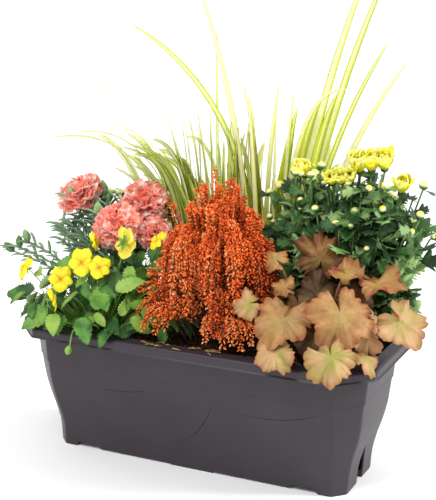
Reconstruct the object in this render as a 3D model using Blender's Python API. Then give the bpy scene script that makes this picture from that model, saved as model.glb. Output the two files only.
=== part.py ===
"""Planted window box: a moulded plastic trough, its soil and the plants that grow in it.

Metres, +Z up. The origin is the middle of the base, on the surface that the trough stands on.
X runs along the trough and -Y is its front.
"""
import math

import bmesh
import bpy
import numpy as np
from mathutils import Vector

# trough: outside of the rim, and the body below it
RIM_HALF_LENGTH = 0.250
RIM_HALF_WIDTH = 0.110
RIM_CORNER = 0.041          # leg of the 45 degree corner
RIM_TOP = 0.178
RIM_SKIRT = 0.013           # height of the skirt that hangs from the rim
RIM_ROUND = 0.004
CORNER_SOFTNESS = 0.0035    # how far each upright edge is rounded to either side
WALL = 0.0025
FLOOR_TOP = 0.0095
FLOOR_UNDERSIDE = 0.0065
# height, half length, half width and corner leg of the body, from the feet up
BODY_SECTIONS = (
    (0.000, 0.2090, 0.0620, 0.0155),
    (0.030, 0.2120, 0.0645, 0.0185),
    (0.050, 0.2165, 0.0695, 0.0210),
    (0.070, 0.2225, 0.0755, 0.0245),
    (0.090, 0.2270, 0.0810, 0.0275),
    (0.115, 0.2300, 0.0855, 0.0295),
    (0.140, 0.2330, 0.0885, 0.0320),
    (0.178, 0.2360, 0.0915, 0.0350),
)
BAND_HEIGHT = 0.127         # above this height the wall stands a little prouder
BAND_STEP = 0.0010
BAND_SLOPE = 0.0004         # half the height over which the step happens
OUTER_HEIGHTS = (0.0, 0.015, 0.030, 0.043, 0.056, 0.069, 0.082, 0.098, 0.116)
INNER_TOP = 0.150           # height of the wall's last rings under the rim, inside and outside
INNER_HEIGHTS = (0.116, 0.090, 0.072, 0.056, 0.043, 0.030)
FLANGE_SLOPE = 0.001        # the flange's underside falls this far towards the skirt
LIP_ROUND = 0.0012          # bevel between the rim's top and the inner wall
# underside
PAD_HALF = 0.030            # half length of the middle pad
PLINTH_RAISE = 0.0022
PLINTH_LEAN = 0.001
NOTCH_FROM = 0.142
NOTCH_TO = 0.173
NOTCH_HEIGHT = 0.0062
NOTCH_LEAN = 0.003
POCKET_FROM = 0.036
POCKET_TO = 0.136
POCKET_HALF_WIDTH = 0.054
DRAIN_RADIUS = 0.007
DRAIN_X = 0.085
DRAIN_Y = 0.028
DRAIN_DEPTH = 0.001
DRAIN_CUTTER = 0.004        # height of the disc that presses it in
UNDER_GROUND = -0.010       # how far cutters reach below the ground
CUTTER_HALF_DEPTH = 0.150   # and to the front and the back
# pointed niche in each end
NICHE_WIDTH = 0.021
NICHE_HEIGHT = 0.050
NICHE_DEPTH = 0.013
NICHE_SPRING = 0.020        # height at which the sides start to lean in
NICHE_LEVEL = 0.025         # height at which its depth is measured
NICHE_SILL = 0.004          # foot of the block behind it
# arcs pressed into the front: x and z of the two ends, how far the middle sags, and which way
FRONT_ARCS = (
    ((-0.120, 0.099), (-0.050, 0.108), -0.0030),
    ((0.074, 0.099), (0.194, 0.120), -0.0095),
    ((0.042, 0.109), (-0.005, 0.042), 0.0062),
)
ARC_GROOVE = 0.0006
ARC_HALF_WIDTH = 0.0009
ARC_PROUD = 0.004           # how far the arc's cutter stands out of the wall
ARC_FADE = 0.08             # share of its length over which the groove gets shallower

SOIL_TOP = 0.166
SOIL_MOUND = 0.001
SOIL_MOUND_INSET = 0.020
STALK_CLEARANCE = 0.0030    # height of a stalk's foot over the level soil
STALK_RISE = 0.85           # least height of a stalk's bend, as a share of its hub's
STALK_BEND = 0.35           # how far back from the hub a stalk bends, as a share of its span
STALK_LEAN = (0.35, 0.65)   # how a leaf's stalk comes in: along its midrib, along its normal
HEAD_STALK_RADIUS = 0.0013
HEAD_STALK_START = 0.30     # where a flower head's stalk starts, from the plant's axis to the hub
BLADE_FOOT = 0.0015         # height of a grass blade's foot over the soil
BLADE_HALF_THICK = 0.0005
BLADE_KEEL = 0.28           # depth of its fold, as a share of its half width
HEATHER_SPIKE_RADIUS = 0.0095
GAP = 0.0003                # clearance between pieces that touch

# leaves and flowers: hub, radius, then the way the face looks (azimuth from the front, elevation)
# and the roll of the midrib from straight up, all in degrees
CORAL_BELLS_CROWN = (0.168, -0.042)
CORAL_BELLS_LEAVES = (
    ("upright", (0.159, -0.024, 0.293), 0.035, 20, 12, -4),
    ("left_back", (0.110, -0.050, 0.294), 0.019, 5, 40, -60),
    ("right_back", (0.201, -0.050, 0.286), 0.028, 30, 78, 120),
    ("right_middle", (0.234, -0.030, 0.272), 0.034, 30, 78, 110),
    ("large_front", (0.211, -0.093, 0.250), 0.041, 25, 38, 170),
    ("right_end", (0.270, -0.052, 0.236), 0.035, 38, 40, 140),
    ("large_left", (0.142, -0.098, 0.236), 0.041, 18, 52, 205),
    ("olive_left", (0.088, -0.082, 0.243), 0.022, 12, 42, -112),
    ("rim_left", (0.142, -0.128, 0.203), 0.026, 12, 50, 190),
    ("rim_right", (0.213, -0.138, 0.202), 0.030, 22, 44, 178),
)
VIOLA_CROWN = (-0.150, -0.040)
VIOLA_FLOWERS = (
    ("left_end", (-0.258, -0.050, 0.238), 0.016, -40, 10, 0),
    ("front_left", (-0.176, -0.088, 0.243), 0.017, 20, 20, 0),
    ("middle", (-0.150, -0.078, 0.266), 0.018, 20, 15, -10),
    ("right", (-0.122, -0.080, 0.263), 0.015, 25, 20, 20),
    ("low_front", (-0.176, -0.110, 0.221), 0.015, 120, 0, 0),
    ("tall_bud", (-0.156, -0.036, 0.284), 0.012, 100, 0, 0),
    ("right_nodding", (-0.098, -0.056, 0.292), 0.019, 30, -20, 0),
    ("beside_heather", (-0.060, -0.036, 0.295), 0.013, -30, 25, 5),
)
VIOLA_LEAVES = (
    ("left_end", (-0.262, -0.058, 0.202), 0.022, -10, 60, -80),
    ("large_front_left", (-0.196, -0.096, 0.194), 0.026, 10, 50, 230),
    ("front_left", (-0.168, -0.122, 0.198), 0.017, 20, 55, 170),
    ("front_right", (-0.125, -0.120, 0.197), 0.020, 20, 45, 160),
    ("middle_dark", (-0.118, -0.088, 0.222), 0.024, 20, 45, 20),
    ("right", (-0.088, -0.076, 0.240), 0.020, 10, 50, 60),
    ("back_left", (-0.205, -0.020, 0.238), 0.020, -10, 50, -50),
)
CARNATION_CROWN = (-0.165, 0.034)
CARNATION_FLOWERS = (
    ("left", (-0.218, 0.034, 0.330), 0.024, -25, 55, 0),
    ("front", (-0.134, -0.008, 0.302), 0.025, 10, 35, 0),
    ("top", (-0.121, 0.038, 0.326), 0.025, 25, 45, 0),
    ("right", (-0.090, 0.012, 0.290), 0.018, 45, 20, 0),
    ("buds", (-0.320, 0.020, 0.252), 0.009, -60, 40, 0),
)
# grass blades: base, tip, how far the bend stands towards the tip, how high it stands, width
BROAD_BLADES = (
    ((0.030, 0.066), (-0.076, 0.092, 0.640), 0.06, 0.60, 0.0095),
    ((0.036, 0.076), (-0.162, 0.086, 0.560), -0.04, 0.76, 0.0080),
    ((0.042, 0.062), (0.022, 0.064, 0.480), 0.30, 0.55, 0.0075),
    ((0.050, 0.074), (0.000, 0.094, 0.490), 0.15, 0.60, 0.0085),
    ((0.058, 0.064), (0.058, 0.072, 0.456), 0.40, 0.55, 0.0100),
    ((0.068, 0.062), (0.155, 0.066, 0.490), 0.04, 1.02, 0.0060),
    ((0.066, 0.074), (0.178, 0.088, 0.655), 0.24, 0.55, 0.0100),
    ((0.074, 0.084), (0.198, 0.106, 0.650), 0.24, 0.55, 0.0095),
    ((0.082, 0.068), (0.205, 0.074, 0.550), 0.25, 0.62, 0.0070),
    ((0.092, 0.078), (0.228, 0.092, 0.530), 0.22, 0.62, 0.0080),
)
SLENDER_BLADES = (
    ((-0.078, 0.068), (-0.250, 0.066, 0.545), 0.10, 0.50, 0.0030),
    ((-0.070, 0.062), (-0.290, 0.064, 0.398), 0.10, 1.22, 0.0040),
    ((-0.066, 0.082), (-0.262, 0.092, 0.405), 0.15, 1.15, 0.0035),
    ((-0.054, 0.071), (-0.180, 0.078, 0.392), 0.10, 1.00, 0.0065),
    ((-0.046, 0.084), (-0.212, 0.104, 0.415), 0.20, 1.05, 0.0035),
    ((-0.038, 0.066), (-0.112, 0.072, 0.460), 0.20, 0.60, 0.0060),
    ((-0.028, 0.078), (-0.036, 0.090, 0.565), 0.40, 0.50, 0.0035),
    ((-0.018, 0.068), (-0.062, 0.074, 0.470), 0.30, 0.60, 0.0060),
)
BROAD_FACE_TURN = 68.0      # degrees that a blade's face turns from the side to the front
SLENDER_FACE_TURN = 45.0
HEATHER_CENTRE = (0.030, -0.034)
HEATHER_CORE = 0.265        # height from which the heather's spikes spread
# tip of each spike that stands clear of the heather's dome
HEATHER_SPIKES = (
    (0.014, -0.020, 0.392),
    (-0.014, -0.016, 0.364),
    (-0.042, -0.030, 0.346),
    (0.026, -0.040, 0.362),
    (0.044, -0.016, 0.374),
    (0.078, -0.024, 0.340),
    (-0.062, -0.080, 0.206),
    (-0.036, -0.090, 0.188),
    (0.030, -0.096, 0.192),
    (0.064, -0.104, 0.186),
    (-0.062, -0.052, 0.262),
    (0.104, -0.030, 0.300),
)
# bush domes: height, half length and half width of each level
HEATHER_LEVELS = (
    (0.1680, 0.018, 0.012),
    (0.190, 0.032, 0.022),
    (0.215, 0.056, 0.036),
    (0.250, 0.070, 0.044),
    (0.290, 0.064, 0.040),
    (0.322, 0.048, 0.030),
    (0.345, 0.024, 0.016),
)
CARNATION_LEVELS = (
    (0.1680, 0.016, 0.010),
    (0.190, 0.026, 0.016),
    (0.225, 0.042, 0.022),
    (0.250, 0.042, 0.022),
    (0.268, 0.026, 0.014),
)
CHRYSANTHEMUM_CENTRE = (0.172, 0.028)
CHRYSANTHEMUM_LEVELS = (
    (0.1680, 0.020, 0.010),
    (0.200, 0.032, 0.014),
    (0.240, 0.058, 0.020),
    (0.285, 0.086, 0.024),
    (0.325, 0.098, 0.025),
    (0.350, 0.086, 0.022),
    (0.370, 0.054, 0.015),
)
# chrysanthemum blooms and bud groups: hub, radius, azimuth and elevation of the face
CHRYSANTHEMUM_FLOWERS = (
    ("bloom_high", (0.199, 0.040, 0.408), 0.021, 10, 60),
    ("bloom_middle", (0.166, 0.024, 0.390), 0.015, 0, 50),
    ("bloom_right", (0.240, 0.036, 0.384), 0.013, 30, 60),
    ("bloom_left", (0.108, 0.044, 0.392), 0.013, -10, 60),
    ("buds_left", (0.120, 0.020, 0.384), 0.012, -20, 50),
)

COLLECTION = "planted_window_box"
CUTTERS = "planted_window_box_cutters"


def clear_scene():
    for item in list(bpy.data.objects):
        bpy.data.objects.remove(item, do_unlink=True)


def collection(name):
    group = bpy.data.collections.new(name)
    bpy.context.scene.collection.children.link(group)
    return group


def material(name, colour, roughness):
    finish = bpy.data.materials.new(name)
    finish.use_nodes = True
    shader = finish.node_tree.nodes["Principled BSDF"]
    shader.inputs["Base Color"].default_value = (*colour, 1.0)
    shader.inputs["Roughness"].default_value = roughness
    shader.inputs["Metallic"].default_value = 0.0
    return finish


def add_mesh(name, vertices, faces, finish, group):
    """A mesh object from points and faces; triangulated later by whoever reads it."""
    mesh = bpy.data.meshes.new(name)
    mesh.from_pydata([tuple(v) for v in vertices], [], [tuple(f) for f in faces])
    mesh.validate()
    mesh.materials.append(finish)
    part = bpy.data.objects.new(name, mesh)
    group.objects.link(part)
    return part


def hide_cutter(part):
    part.hide_render = True
    part.display_type = "WIRE"


def boolean(part, other, operation):
    change = part.modifiers.new(operation.lower() + "_" + other.name, "BOOLEAN")
    change.operation = operation
    change.solver = "EXACT"
    change.object = other


def loft(rings):
    """Faces of a closed body through equally long rings of points, capped at both ends."""
    rings = np.asarray(rings, dtype=float)
    levels, count = rings.shape[:2]
    faces = [tuple(reversed(range(count)))]
    for level in range(levels - 1):
        low = level * count
        for i in range(count):
            j = (i + 1) % count
            faces.append((low + i, low + j, low + count + j, low + count + i))
    faces.append(tuple(range((levels - 1) * count, levels * count)))
    return rings.reshape(-1, 3), faces


# ---- trough ---------------------------------------------------------------------------------


def octagon(half_length, half_width, corner, height, softness=CORNER_SOFTNESS):
    """Counter-clockwise outline with 45 degree corners, each of its eight edges rounded."""
    x, y, c = half_length, half_width, corner
    points = [(x, -y + c), (x, y - c), (x - c, y), (-x + c, y)]
    points += [(-x, y - c), (-x, -y + c), (-x + c, -y), (x - c, -y)]
    outline = []
    for i, corner_point in enumerate(points):
        here = np.array(corner_point)
        before = np.array(points[i - 1]) - here
        after = np.array(points[(i + 1) % 8]) - here
        start = here + before / np.linalg.norm(before) * softness
        end = here + after / np.linalg.norm(after) * softness
        for t in (0.0, 0.5, 1.0):
            p = (1 - t) ** 2 * start + 2 * t * (1 - t) * here + t ** 2 * end
            outline.append((p[0], p[1], height))
    return outline


def body_section(height):
    """Half length, half width and corner leg of the body at a height, smooth between sections."""
    rows = np.array(BODY_SECTIONS)
    heights = rows[:, 0]
    slopes = np.gradient(rows[:, 1:], heights, axis=0)
    i = min(max(np.searchsorted(heights, height) - 1, 0), len(rows) - 2)
    span = heights[i + 1] - heights[i]
    t = (height - heights[i]) / span
    section = (2 * t ** 3 - 3 * t ** 2 + 1) * rows[i, 1:]
    section += (t ** 3 - 2 * t ** 2 + t) * span * slopes[i]
    section += (3 * t ** 2 - 2 * t ** 3) * rows[i + 1, 1:]
    section += (t ** 3 - t ** 2) * span * slopes[i + 1]
    return section


def offset_ring(section, distance, height, softness=CORNER_SOFTNESS):
    """The octagon of a section, moved outwards by a distance all round."""
    x, y, c = section
    leg = c + distance * (2 - math.sqrt(2))
    return octagon(x + distance, y + distance, leg, height, softness)


def outer_rings():
    rings = []
    for height in OUTER_HEIGHTS:
        rings.append(offset_ring(body_section(height), 0.0, height))
    below, above = BAND_HEIGHT - BAND_SLOPE, BAND_HEIGHT + BAND_SLOPE
    rings.append(offset_ring(body_section(below), 0.0, below))
    rings.append(offset_ring(body_section(above), BAND_STEP, above))
    rings.append(offset_ring(body_section(INNER_TOP), BAND_STEP, INNER_TOP))
    return rings


def rim_rings():
    """From the body, under the flange, round the skirt and over the top to the inner wall."""
    rim = (RIM_HALF_LENGTH, RIM_HALF_WIDTH, RIM_CORNER)
    flange = RIM_TOP - WALL
    skirt = RIM_TOP - RIM_SKIRT
    rings = [offset_ring(body_section(flange), BAND_STEP, flange)]
    rings.append(offset_ring(rim, -WALL, flange - FLANGE_SLOPE))
    rings.append(offset_ring(rim, -WALL, skirt))
    rings.append(offset_ring(rim, 0.0, skirt))
    for degrees in (0, 30, 60, 90):
        a = math.radians(degrees)
        inset = RIM_ROUND * (1 - math.cos(a))
        height = RIM_TOP - RIM_ROUND * (1 - math.sin(a))
        rings.append(offset_ring(rim, -inset, height))
    lip = RIM_TOP - LIP_ROUND
    rings.append(offset_ring(body_section(RIM_TOP), -WALL + LIP_ROUND, RIM_TOP))
    rings.append(offset_ring(body_section(lip), -WALL, lip))
    return rings


def cavity_rings(top, clearance, heights):
    """Rings of the hollow from a height down to the floor, drawn in by a clearance."""
    rings = [offset_ring(body_section(top), -WALL - clearance, top)]
    for height in heights:
        rings.append(offset_ring(body_section(height), -WALL - clearance, height))
    floor = FLOOR_TOP + clearance
    rings.append(offset_ring(body_section(floor), -WALL - clearance, floor))
    return rings


def niche_outline(grow):
    """Half arch from the ground to the point, as (across, height) pairs, mirrored."""
    half = NICHE_WIDTH / 2 + grow
    top = NICHE_HEIGHT + grow * 1.5
    side = [(half, UNDER_GROUND), (half, NICHE_SPRING)]
    for t in (0.35, 0.7):
        lean = 1 - t ** 1.6
        side.append((half * lean, NICHE_SPRING + (top - NICHE_SPRING) * t))
    mirrored = [(-y, z) for y, z in reversed(side)]
    return side + [(0.0, top)] + mirrored


def niche_block(name, sign, grow, inner_face, finish, group):
    """The pointed arch carried along X, from outside the end to the niche's inner face."""
    outline = niche_outline(grow)
    rings = []
    for x in (inner_face, RIM_HALF_LENGTH):
        rings.append([(sign * x, y, z) for y, z in outline])
    if sign < 0:
        rings = [list(reversed(ring)) for ring in rings]
    block = add_mesh(name, *loft(rings), finish, group)
    hide_cutter(block)
    return block


def underside_cutter(sign, finish, group):
    """The stepped gap under one half of the box, carried from front to back."""
    low = UNDER_GROUND
    outline = [(PAD_HALF, low), (PAD_HALF + PLINTH_LEAN, PLINTH_RAISE)]
    outline += [(NOTCH_FROM - NOTCH_LEAN, PLINTH_RAISE), (NOTCH_FROM, NOTCH_HEIGHT)]
    outline += [(NOTCH_TO, NOTCH_HEIGHT), (NOTCH_TO + NOTCH_LEAN, 0.0), (NOTCH_TO + NOTCH_LEAN, low)]
    rings = []
    for y in (-CUTTER_HALF_DEPTH, CUTTER_HALF_DEPTH):
        rings.append([(sign * x, y, z) for x, z in outline])
    if sign > 0:
        rings = [list(reversed(ring)) for ring in rings]
    side = "right" if sign > 0 else "left"
    block = add_mesh("underside_gap_" + side, *loft(rings), finish, group)
    hide_cutter(block)
    return block


def box_cutter(name, low, high, finish, group):
    mesh = bpy.data.meshes.new(name)
    shape = bmesh.new()
    bmesh.ops.create_cube(shape, size=1.0)
    size = Vector(high) - Vector(low)
    bmesh.ops.scale(shape, vec=size, verts=shape.verts)
    bmesh.ops.translate(shape, vec=(Vector(low) + Vector(high)) / 2, verts=shape.verts)
    shape.to_mesh(mesh)
    shape.free()
    mesh.materials.append(finish)
    block = bpy.data.objects.new(name, mesh)
    group.objects.link(block)
    hide_cutter(block)
    return block


def drain_cutter(name, place, finish, group):
    """A shallow round knock-out, pressed into the underside of the floor."""
    mesh = bpy.data.meshes.new(name)
    shape = bmesh.new()
    radius = DRAIN_RADIUS
    bmesh.ops.create_cone(
        shape, cap_ends=True, segments=16, radius1=radius, radius2=radius, depth=DRAIN_CUTTER
    )
    bmesh.ops.translate(shape, vec=place, verts=shape.verts)
    shape.to_mesh(mesh)
    shape.free()
    mesh.materials.append(finish)
    disc = bpy.data.objects.new(name, mesh)
    group.objects.link(disc)
    hide_cutter(disc)
    return disc


def front_half_width(height):
    step = BAND_STEP if height > BAND_HEIGHT else 0.0
    return body_section(height)[1] + step


def arc_cutter(name, start, end, sag, finish, group):
    """A thin bar along a circular-looking arc that lies in the front wall's surface."""
    start, end = np.array(start), np.array(end)
    across = np.array((-(end - start)[1], (end - start)[0]))
    across = across / np.linalg.norm(across)
    rings = []
    for t in np.linspace(0, 1, 9):
        x, z = start + (end - start) * t + across * sag * 4 * t * (1 - t)
        depth = math.sin(math.pi * min(max(t, ARC_FADE), 1 - ARC_FADE)) ** 0.5
        deep = -front_half_width(z) + ARC_GROOVE * depth
        proud = -front_half_width(z) - ARC_PROUD
        run = end - start + across * sag * 4 * (1 - 2 * t)
        nx, nz = np.array((-run[1], run[0])) / np.linalg.norm(run) * ARC_HALF_WIDTH
        ring = [(x - nx, proud, z - nz), (x + nx, proud, z + nz), (x, deep, z)]
        rings.append(ring)
    bar = add_mesh(name, *loft(rings), finish, group)
    make_outward(bar)
    hide_cutter(bar)
    return bar


def make_outward(part):
    shape = bmesh.new()
    shape.from_mesh(part.data)
    bmesh.ops.recalc_face_normals(shape, faces=shape.faces)
    shape.to_mesh(part.data)
    shape.free()


def make_trough(group, cutters):
    plastic = material("anthracite_plastic", (0.078, 0.068, 0.080), 0.45)
    rings = outer_rings() + rim_rings()
    rings += cavity_rings(INNER_TOP, 0.0, INNER_HEIGHTS)
    trough = add_mesh("window_box", *loft(rings), plastic, group)
    # a block behind each niche, so that the wall goes round it
    inner = body_section(NICHE_LEVEL)[0] - NICHE_DEPTH
    for sign, side in ((1, "right"), (-1, "left")):
        backing = niche_backing(side, sign, inner - WALL, plastic, cutters)
        boolean(trough, backing, "UNION")
        niche = niche_block("niche_" + side, sign, 0.0, inner, plastic, cutters)
        make_outward(niche)
        boolean(trough, niche, "DIFFERENCE")
        gap = underside_cutter(sign, plastic, cutters)
        make_outward(gap)
        boolean(trough, gap, "DIFFERENCE")
        low = (sign * POCKET_FROM, -POCKET_HALF_WIDTH, UNDER_GROUND)
        high = (sign * POCKET_TO, POCKET_HALF_WIDTH, FLOOR_UNDERSIDE)
        ordered = [tuple(sorted(pair)) for pair in zip(low, high)]
        pocket = box_cutter(
            "pocket_" + side, [p[0] for p in ordered], [p[1] for p in ordered], plastic, cutters
        )
        boolean(trough, pocket, "DIFFERENCE")
        for y in (-DRAIN_Y, DRAIN_Y):
            place = (sign * DRAIN_X, y, FLOOR_UNDERSIDE + DRAIN_DEPTH - DRAIN_CUTTER / 2)
            drain = drain_cutter("drain_%s_%d" % (side, y > 0), place, plastic, cutters)
            boolean(trough, drain, "DIFFERENCE")
    for i, (start, end, sag) in enumerate(FRONT_ARCS):
        arc = arc_cutter("front_arc_%d" % (i + 1), start, end, sag, plastic, cutters)
        boolean(trough, arc, "DIFFERENCE")
    return trough


def niche_backing(side, sign, inner_face, finish, group):
    """The arch grown by the wall thickness, from inside the end wall to the niche's back."""
    outline = [(y, max(z, NICHE_SILL)) for y, z in niche_outline(WALL)]
    outer = body_section(0.0)[0] - WALL * 0.5
    tops = []
    for y, z in outline:
        tops.append(body_section(z)[0] - WALL * 0.5)
    rings = [[(sign * inner_face, y, z) for y, z in outline]]
    rings.append([(sign * max(outer, top), y, z) for (y, z), top in zip(outline, tops)])
    block = add_mesh("niche_backing_" + side, *loft(rings), finish, group)
    make_outward(block)
    hide_cutter(block)
    return block


def make_soil(group, cutters):
    compost = material("potting_soil", (0.030, 0.017, 0.009), 0.95)
    rings = cavity_rings(SOIL_TOP, GAP, (BAND_HEIGHT, *INNER_HEIGHTS))
    x, y, c = body_section(SOIL_TOP)
    mound = offset_ring((x, y, c), -SOIL_MOUND_INSET, SOIL_TOP + SOIL_MOUND)
    soil = add_mesh("potting_soil", *loft(list(reversed(rings)) + [mound]), compost, group)
    inner = body_section(NICHE_LEVEL)[0] - NICHE_DEPTH - WALL - GAP
    for sign, side in ((1, "right"), (-1, "left")):
        block = niche_block("niche_room_" + side, sign, WALL + GAP, inner, compost, cutters)
        make_outward(block)
        boolean(soil, block, "DIFFERENCE")
    return soil


# ---- plants ---------------------------------------------------------------------------------


def bezier(points, t):
    """Points of a quadratic Bezier curve at the parameters t, and the unit tangents there."""
    a, b, c = (np.asarray(p, dtype=float) for p in points)
    t = np.asarray(t, dtype=float)[:, None]
    path = (1 - t) ** 2 * a + 2 * t * (1 - t) * b + t ** 2 * c
    run = 2 * (1 - t) * (b - a) + 2 * t * (c - b)
    return path, run / np.linalg.norm(run, axis=1, keepdims=True)


def make_blade(name, base, tip, lean, rise, width, face_turn, finish, group, steps=12):
    """A grass blade: a keeled ribbon along a curve, tapering to its tip."""
    start = np.array((base[0], base[1], SOIL_TOP + BLADE_FOOT))
    end = np.array(tip)
    bend = start + (end - start) * np.array((lean, lean, rise))
    t = np.linspace(0, 1, steps)
    path, tangent = bezier((start, bend, end), t)
    heading = end[:2] - start[:2]
    if np.linalg.norm(heading) < 0.02:
        heading = np.array((0.3, -1.0))
    heading = heading / np.linalg.norm(heading)
    level = np.array((-heading[1], heading[0], 0.0))
    flat = np.cross(tangent, level)
    front = 1.0 if flat[0, 0] > 0 else -1.0
    turn = math.radians(face_turn) * front
    side = level * math.cos(turn) + flat * math.sin(turn)
    out = np.cross(side, tangent)
    half = width / 2 * np.clip(0.75 + t, 0, 1) * np.sqrt(np.clip(1.02 - t ** 3, 0, 1))
    thick = BLADE_HALF_THICK * np.ones(steps) * (1 - 0.4 * t)
    rings = []
    for k in range(steps):
        keel = half[k] * BLADE_KEEL
        ring = [path[k] - side[k] * half[k] + out[k] * keel, path[k] - out[k] * thick[k] * 1.6]
        ring += [path[k] + side[k] * half[k] + out[k] * keel, path[k] + out[k] * thick[k] * 1.6]
        rings.append(ring)
    blade = add_mesh(name, *loft(rings), finish, group)
    make_outward(blade)
    return blade


def face_frame(azimuth, elevation, roll):
    """Midrib direction, direction across, and face normal of a leaf or flower."""
    a, e, r = (math.radians(v) for v in (azimuth, elevation, roll))
    normal = np.array((math.sin(a) * math.cos(e), -math.cos(a) * math.cos(e), math.sin(e)))
    up = np.array((0, 0, 1.0)) - normal * normal[2]
    up = up / np.linalg.norm(up)
    right = np.cross(up, normal)
    midrib = up * math.cos(r) + right * math.sin(r)
    across = np.cross(normal, midrib)
    return midrib, across, normal


def disc_solid(hub, radius, frame, outline, top, bottom, spokes, rings):
    """A thin body over a lobed disc: top and bottom give heights over the hub plane."""
    midrib, across, normal = frame
    turn = np.linspace(0, 2 * math.pi, spokes, endpoint=False)
    reach = radius * outline(turn)
    direction = np.cos(turn)[:, None] * midrib + np.sin(turn)[:, None] * across
    steps = np.linspace(0, 1, rings + 1)[1:]
    vertices = [hub + normal * top(0.0, turn)[0] * radius, hub + normal * bottom(0.0, turn)[0] * radius]
    for surface in (top, bottom):
        for s in steps:
            lift = surface(s, turn) * radius
            vertices += list(hub + direction * (reach * s)[:, None] + normal * lift[:, None])
    faces = []
    upper = 2
    lower = 2 + rings * spokes
    for i in range(spokes):
        j = (i + 1) % spokes
        faces.append((0, upper + i, upper + j))
        faces.append((1, lower + j, lower + i))
        for k in range(rings - 1):
            u = upper + k * spokes
            w = lower + k * spokes
            faces.append((u + i, u + spokes + i, u + spokes + j, u + j))
            faces.append((w + j, w + spokes + j, w + spokes + i, w + i))
        u = upper + (rings - 1) * spokes
        w = lower + (rings - 1) * spokes
        faces.append((u + i, w + i, w + j, u + j))
    return vertices, faces


def make_stalk(name, base, hub, inward, radius, finish, group, sides=5, steps=6):
    """A round stalk from the ground up and over to a hub, which it enters along a direction."""
    end = np.asarray(hub, dtype=float)
    start = np.asarray(base, dtype=float)
    bend = end - np.asarray(inward) * STALK_BEND * np.linalg.norm(end - start)
    bend[2] = max(bend[2], start[2] + STALK_RISE * (end[2] - start[2]))
    t = np.linspace(0, 1, steps)
    path, tangent = bezier((start, bend, end), t)
    rings = []
    for k in range(steps):
        side = np.cross(tangent[k], (0.31, -0.95, 0.0))
        side = side / np.linalg.norm(side)
        other = np.cross(tangent[k], side)
        ring = []
        for i in range(sides):
            a = 2 * math.pi * i / sides
            ring.append(path[k] + (side * math.cos(a) + other * math.sin(a)) * radius)
        rings.append(ring)
    stalk = add_mesh(name, *loft(rings), finish, group)
    make_outward(stalk)
    hide_cutter(stalk)
    return stalk


def crown_base(crown, hub, spread=0.28):
    """Where a stalk leaves the soil: from the crown a little way towards its hub."""
    x = crown[0] + (hub[0] - crown[0]) * spread
    y = crown[1] + (hub[1] - crown[1]) * spread
    return (x, y, SOIL_TOP + STALK_CLEARANCE)


def palmate(turn):
    """Seven rounded lobes with a notch where the stalk joins."""
    lobes = 0.90 + 0.10 * np.cos(turn * 7)
    notch = 0.45 * np.exp(-((np.abs(turn - math.pi)) / 0.22) ** 2)
    return lobes - notch


def ovate(turn):
    """A leaf longer than wide, its stalk at the back."""
    return 0.72 + 0.34 * np.cos(turn) ** 2 * (np.cos(turn) > 0) + 0.02 * np.cos(turn * 9)


def five_petals(turn):
    return 0.86 + 0.14 * np.cos((turn - 0.6) * 5)


def frilled(turn):
    return 0.96 + 0.04 * np.cos(turn * 6)


def thin_dish(cup, wave, thickness):
    """Top and bottom heights of a leaf that dishes by cup and waves at its edge."""

    def top(s, turn):
        return cup * s ** 2 + wave * s ** 3 * np.cos(turn * 3.5 + 0.8) + 0 * turn

    def bottom(s, turn):
        return top(s, turn) - thickness

    return top, bottom


def dome(height, depth):
    """Top and bottom heights of a full flower head over its short cone."""

    def top(s, turn):
        return height * math.sqrt(max(1 - s ** 2, 0.02)) + 0 * turn

    def bottom(s, turn):
        return -depth * (1 - s) - 0.02 + 0 * turn

    return top, bottom


def make_leaf(name, spot, crown, shape, heights, stalk_share, finish, groups, spokes, rings):
    """A blade or flower on its stalk, whose radius is a share of the blade's, joined into one body."""
    hub, radius, azimuth, elevation, roll = spot
    frame = face_frame(azimuth, elevation, roll)
    hub = np.array(hub)
    solid = disc_solid(hub, radius, frame, shape, *heights, spokes, rings)
    leaf = add_mesh(name, *solid, finish, groups[0])
    make_outward(leaf)
    middle = [surface(0.0, np.zeros(1))[0] for surface in heights]
    entry = hub + frame[2] * radius * sum(middle) / 2
    base = crown_base(crown, hub)
    inward = frame[0] * STALK_LEAN[0] + frame[2] * STALK_LEAN[1]
    stalk = make_stalk(name + "_stalk", base, entry, inward, radius * stalk_share, finish, groups[1])
    boolean(leaf, stalk, "UNION")
    return leaf


def make_bush(name, centre, levels, lobes, depth, finish, group, sides=28):
    """A plant's leafy mass: oval levels with rounded lobes, from its foot to its top."""
    turn = np.linspace(0, 2 * math.pi, sides, endpoint=False)
    rings = []
    for k, (height, half_length, half_width) in enumerate(levels):
        swell = 1 + depth * np.cos(turn * lobes + k * 1.3) * (k > 0)
        x = centre[0] + half_length * swell * np.cos(turn)
        y = centre[1] + half_width * swell * np.sin(turn)
        rings.append(np.stack([x, y, np.full(sides, height)], axis=1))
    bush = add_mesh(name, *loft(rings), finish, group)
    make_outward(bush)
    return bush


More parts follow.
